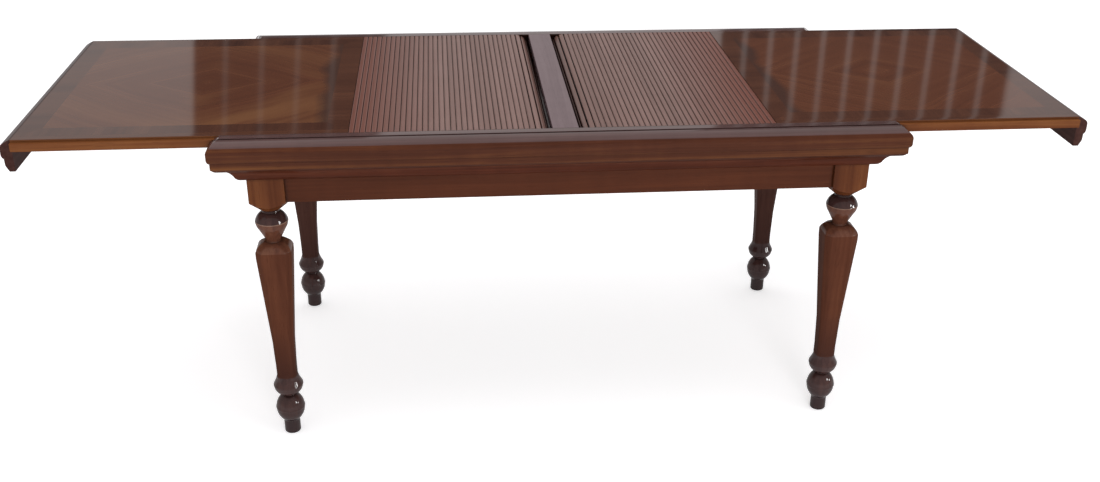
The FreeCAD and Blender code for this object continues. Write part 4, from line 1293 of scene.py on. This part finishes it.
@dataclass
class Tambour(Assembly):
    """The slats that draw out from a slot beside the bar as a leaf goes out, and the canvas under them."""

    side: Side
    pitch: float = 12.6
    width: float = 11.8
    tongue_half: float = 3.9
    tongue: float = 398.5
    leaf_edge: float = 484.0
    straight: int = 33
    tail: int = 5
    bend_start: float = 68.2
    bend_height: float = 762.3
    bend_inner: float = 29.7
    canvas_end: float = 500.0
    canvas_half: float = 378.0
    canvas_thickness: float = 0.8
    slot_edge: float = 30.5
    stored_share: float = 0.0198  # how thin the drawn-in run is shown, to fit the slot

    def build(self) -> None:
        """Builds the slats and the canvas, as they lie with the leaf drawn out."""
        name = self.side.value
        slats, canvas = self.slats(), self.canvas()
        for mesh in (slats, canvas):
            mesh.transform(self.side.turn())
        node = f"{name}_tambour"
        run = self.piece(f"{node}_slats", "run", slats, [Finish.SLAT], "tambour_mahogany", smooth=25.0)
        cloth = self.piece(f"{node}_canvas", "cloth", canvas, [Finish.CANVAS], "canvas")
        for piece in (run, cloth):
            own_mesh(piece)

    def section(self, half: float, top: float, shoulder: float) -> list[Point]:
        """Gives the outline of a slat with rounded shoulders.

        Args:
            half: Half its width.
            top: Height of its face.
            shoulder: How wide a shoulder is.

        Returns:
            The outline, across and up from the slat's middle.
        """
        drop = min(1.5, shoulder * 0.5)
        radius = (shoulder * shoulder + drop * drop) / (2 * drop)
        right = [(half, SLAT_FLOOR), (half, top - drop), (half - shoulder, top, radius)]
        left = [(shoulder - half, top), (-half, top - drop, radius)]
        return trace([(-half, SLAT_FLOOR), *right, *left], ease=0.25)

    def slats(self) -> Mesh:
        """Makes the slats: a straight run, then a few round the bend and hanging beyond it.

        Returns:
            The mesh.
        """
        mesh = bmesh.new()
        places = [(i + 0.5) * self.pitch for i in range(self.straight)]
        for place in places:
            self.slat(mesh, Matrix.Translation(((self.leaf_edge - place) * MM, 0, 0)))
        centre = Vector((self.bend_start, 0, self.bend_height)) * MM
        quarter = self.bend_inner * math.pi / 2
        for place in places[: self.tail]:
            around = min(place, quarter)
            turn = Matrix.Rotation(-around / self.bend_inner, 4, "Y")
            move = Matrix.Translation(centre + Vector((0, 0, (around - place) * MM)))
            back = Matrix.Translation(Vector((self.bend_start * MM, 0, 0)) - centre)
            self.slat(mesh, move @ turn @ back)
        return mesh

    def slat(self, mesh: Mesh, place: Matrix) -> None:
        """Adds one slat.

        Args:
            mesh: Where it goes.
            place: Where its middle goes.
        """
        body = self.section(self.width / 2, TOP, 3.0)
        tongue = self.section(self.tongue_half, TONGUE_TOP, 0.8)
        end = self.tongue
        for outline, low, high in ((body, -FACE, FACE), (tongue, -end, -FACE), (tongue, FACE, end)):
            loft([[place @ Run.ALONG_Y.place(y, *point) for point in outline] for y in (low, high)], mesh)

    def canvas(self) -> Mesh:
        """Makes the canvas, glued under the straight run and on round the bend.

        Returns:
            The mesh.
        """
        foot = self.bend_height - self.pitch
        faces = []
        for depth in (0.0, self.canvas_thickness):
            bend = self.bend_inner - depth
            corners = [
                (self.canvas_end, SLAT_FLOOR - depth),
                (self.bend_start, SLAT_FLOOR - depth),
                (self.bend_start - bend, self.bend_height, bend),
                (self.bend_start - bend, foot),
            ]
            faces.append(trace(corners, ease=0.0, closed=False, step=7.5))
        section = [*faces[0], *reversed(faces[1])]
        return prism(section, Run.ALONG_Y, -self.canvas_half, self.canvas_half)


@dataclass
class Underframe(Assembly):
    """Beech that carries the top and the leaves: bearers, guides, tracks, corner braces and lopers."""

    ease: float = 0.8  # how far the long arrises are cut back
    shortest: float = 8.0  # edges shorter than this stay sharp

    def build(self) -> None:
        """Eases and dresses each piece."""
        self.eased("corner_braces", Finish.BEECH)
        # This one shows down the slot, and is painted nearly black as shade so that it doesn't.
        self.eased("centre_bearer", Finish.STAINED_DARK)
        for side in Side:
            name = side.value
            for word, finish in (
                ("end_bearer", Finish.BEECH_ACROSS),
                ("cross_bearer", Finish.BEECH_ACROSS),
                ("loper_guides", Finish.BEECH),
                ("bend_guides", Finish.BEECH),
                ("lower_tracks", Finish.BEECH),
            ):
                self.eased(f"{name}_{word}", finish)
            for word, finish in (
                ("lopers", Finish.BEECH),
                ("stop_pegs", Finish.BEECH_ACROSS),
                ("canvas_batten", Finish.BEECH_ACROSS),
            ):
                self.eased(f"{name}_{word}", finish, f"{name}_leaf")
            for slot in self.nodes[f"{name}_loper_screws"].material_slots:
                slot.material = Finish.STEEL.material()

    def eased(self, node: str, finish: Finish, body: str = "frame") -> None:
        """Takes the arrises off a plain worked piece of the frame.

        Args:
            node: The frame's node.
            finish: Its finish.
            body: The body that it moves with.
        """
        mesh = bmesh.new()
        mesh.from_mesh(self.nodes[node].data)
        bmesh.ops.remove_doubles(mesh, verts=mesh.verts, dist=1e-6)
        flat, sharp = math.radians(0.5), math.radians(40)
        parts = {"verts": mesh.verts, "edges": mesh.edges}
        bmesh.ops.dissolve_limit(mesh, angle_limit=flat, delimit={"NORMAL"}, **parts)
        edges = [edge for edge in mesh.edges if edge.is_manifold and edge.calc_face_angle(0.0) > sharp]
        cut_back(mesh, [edge for edge in edges if edge.calc_length() > self.shortest * MM], self.ease)
        self.piece(node, "eased", mesh, [finish], "beech", body)


# ----------------------------------------------------------------------------------------- the studio
@dataclass(frozen=True)
class Screen:
    """A dark screen far behind the table, between pale upright posts."""

    first: float  # where it starts, in degrees to the right of straight behind
    last: float
    post_at: float  # where one of its posts stands
    spacing: float
    pale: float  # how bright the posts are
    dark: float
    lean: float = 0.0  # how far a post leans, in degrees to the left for a rise from 0 to 1
    upright: float = 0.32  # the rise at which the posts stand where post_at says
    post: float = 0.25  # how wide a post looks, in degrees
    soft: float = 0.12  # half the width of the screen's soft edges, in degrees
    foot: Point = (0.08, 0.18)  # the rise where it begins, and where it is whole
    head: Point = (0.58, 0.42)  # the rise where it ends, and up to which it is whole

    def draw(self, tree: Tree, azimuth: Socket, rise: Socket) -> Drawn:
        """Draws the screen on the room's walls.

        Args:
            tree: The world's node tree.
            azimuth: The direction's angle to the right of straight behind, in degrees.
            rise: The direction's upward share.

        Returns:
            How much the screen covers, and how bright it is.
        """
        leaning = calc(tree, "SUBTRACT", rise, self.upright)
        azimuth = calc(tree, "MULTIPLY_ADD", leaning, self.lean, azimuth)
        share: Given = 1.0
        for value, low, high in (
            (azimuth, self.first - self.soft, self.first + self.soft),
            (azimuth, self.last + self.soft, self.last - self.soft),
            (rise, *self.foot),
            (rise, *self.head),
        ):
            share = calc(tree, "MULTIPLY", share, remap(tree, value, low, high, curve="SMOOTHSTEP"))
        count = calc(tree, "DIVIDE", calc(tree, "SUBTRACT", azimuth, self.post_at), self.spacing)
        off = calc(tree, "PINGPONG", count, 0.5)
        half = self.post / self.spacing / 2
        return share, remap(tree, off, half * 1.5, half * 0.5, self.dark, self.pale, curve="SMOOTHSTEP")


@dataclass(frozen=True)
class Lamp:
    """A round lamp aimed at the table, with its place and size in metres and its power in watts."""

    name: str
    place: tuple[float, float, float]
    size: float
    power: float
    for_gloss: bool = False  # whether it shows in the legs' gloss and nowhere else

    def hang(self, legs: bpy.types.Collection) -> None:
        """Hangs the lamp.

        Args:
            legs: What a lamp for gloss lights.
        """
        data = bpy.data.lights.new(self.name, "AREA")
        data.shape, data.size, data.energy = "DISK", self.size, self.power
        lamp = stand(self.name, data)
        lamp.location = self.place
        lamp.visible_camera = False
        lamp.visible_glossy = self.for_gloss  # polished tops don't mirror the soft lamps
        lamp.visible_diffuse = not self.for_gloss
        if self.for_gloss:
            lamp.light_linking.receiver_collection = legs
        aim = Vector((0.0, 0.0, 0.6)) - Vector(self.place)
        lamp.rotation_euler = aim.to_track_quat("-Z", "Y").to_euler()


@dataclass(frozen=True)
class Camera:
    """A camera in front of the table, a little to its left, looking down on it."""

    place: tuple[float, float, float] = (-271.10, -3013.47, 1754.16)
    yaw: float = 6.0688  # degrees to the right
    pitch: float = 26.8583  # degrees downwards
    roll: float = 0.8192
    width: int = 1100  # of the render, in pixels, like the sizes below
    height: int = 482
    focal: float = 1243.203
    axis: Point = (567.568, 281.009)  # where the line of sight meets it
    sensor: float = 36.0

    def build(self) -> None:
        """Stands the camera."""
        data = bpy.data.cameras.new("camera")
        data.lens, data.sensor_width = self.sensor * self.focal / self.width, self.sensor
        data.shift_x = -(self.axis[0] - self.width / 2) / self.width
        data.shift_y = (self.axis[1] - self.height / 2) / self.width
        camera = stand("camera", data)
        yaw, pitch, roll = (math.radians(angle) for angle in (self.yaw, self.pitch, self.roll))
        forward = Vector((math.sin(yaw) * math.cos(pitch), math.cos(yaw) * math.cos(pitch), -math.sin(pitch)))
        level = Vector((math.cos(yaw), -math.sin(yaw), 0.0))
        rise = level.cross(forward)
        right = math.cos(roll) * level + math.sin(roll) * rise
        up = math.cos(roll) * rise - math.sin(roll) * level
        turn = Matrix((right, up, -forward)).transposed().to_4x4()
        camera.matrix_world = Matrix.Translation(Vector(self.place) * MM) @ turn
        bpy.context.scene.camera = camera


@dataclass
class Studio:
    """A pale floor, plain soft light, dark screens behind the table, and the camera."""

    floor_colours: tuple[str, str] = ("eeedef", "f4f3f5")
    floor_size: float = 400.0  # metres from its middle to its edge
    lift: float = 0.47  # how much the floor is lifted towards white
    room: float = 0.8  # how bright the room is
    screens: tuple[Screen, ...] = (
        Screen(-11.6, -3.0, -10.2, 1.62, pale=0.24, dark=0.09, lean=8.0),
        Screen(13.05, 26.1, 14.19, 1.19, pale=0.44, dark=0.1),
    )
    lamps: tuple[Lamp, ...] = (
        Lamp("front", (0.8, -5.6, 2.3), 2.0, 96.0),
        Lamp("overhead", (0.6, -0.6, 3.6), 2.2, 26.0),
        Lamp("spark", (4.6, -3.0, 2.4), 1.1, 130.0, for_gloss=True),
        Lamp("low_spark", (5.0, -1.6, 1.3), 0.5, 50.0, for_gloss=True),
    )

    def build(self) -> None:
        """Builds the floor, the light and the camera."""
        self.floor()
        self.world()
        legs = bpy.data.collections.new("legs_under_the_sparks")
        for thing in bpy.data.objects:
            if thing.name.startswith("leg_"):
                legs.objects.link(thing)
        for lamp in self.lamps:
            lamp.hang(legs)
        Camera().build()

    def floor(self) -> None:
        """Lays the floor: matt and pale, a little lifted to white for the eye and for gloss."""
        mesh = bmesh.new()
        bmesh.ops.create_grid(mesh, x_segments=8, y_segments=8, size=self.floor_size)
        floor = stand("floor", mesh)
        material, tree = new_material("matt_studio_floor")
        grain = add(tree, "TexNoise", {"Scale": 40.0, "Detail": 3.0})
        stops = tuple(zip((0.3, 0.7), self.floor_colours))
        seen = add(tree, "LightPath", out="Is Camera Ray")
        for ray in ("Is Glossy Ray", "Is Transmission Ray"):
            seen = calc(tree, "MAXIMUM", seen, add(tree, "LightPath", out=ray))
        inputs = {
            "Base Color": add(tree, "ValToRGB", {"Fac": grain}, stops=stops),
            "Roughness": 0.9,
            "Specular IOR Level": 0.1,
            "Emission Color": WHITE,
            "Emission Strength": calc(tree, "MULTIPLY", seen, self.lift),
        }
        surface(tree, inputs)
        floor.data.materials.append(material)

    def world(self) -> None:
        """Lights the room evenly, but for dark screens behind the table that the leaves mirror."""
        world = bpy.data.worlds.new("studio")
        bpy.context.scene.world = world
        world.use_nodes = True
        tree = world.node_tree
        tree.nodes.clear()
        way = add(tree, "TexCoord", out="Generated")
        x, y, z = (read(tree, way, axis) for axis in "XYZ")
        azimuth = calc(tree, "DEGREES", calc(tree, "ARCTAN2", x, y))
        strength: Given = self.room
        for screen in self.screens:
            share, brightness = screen.draw(tree, azimuth, z)
            strength = add(tree, "Mix", {0: share, 2: strength, 3: brightness})
        light = add(tree, "Background", {"Color": WHITE, "Strength": strength})
        add(tree, "OutputWorld", {"Surface": light})


def corners(bounds: tuple[Vector, Vector]) -> list[list[float]]:
    """Turns a box into plain lists."""
    return [list(corner) for corner in bounds]


def main() -> None:
    """Builds the table and the studio round it."""
    logging.basicConfig(level=logging.INFO, format="%(name)s: %(message)s")
    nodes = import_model()["nodes"]
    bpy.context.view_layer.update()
    for kind in (Leg, Aprons, Cornice, TopRails, CentreBar, Underframe):
        kind(nodes).build()
    for side in Side:
        Leaf(nodes, side).build()
        Tambour(nodes, side).build()
    Studio().build()
    bpy.context.scene.view_settings.view_transform = "Standard"
    LOG.info("all pieces are in place")


if __name__ == "__main__":
    main()
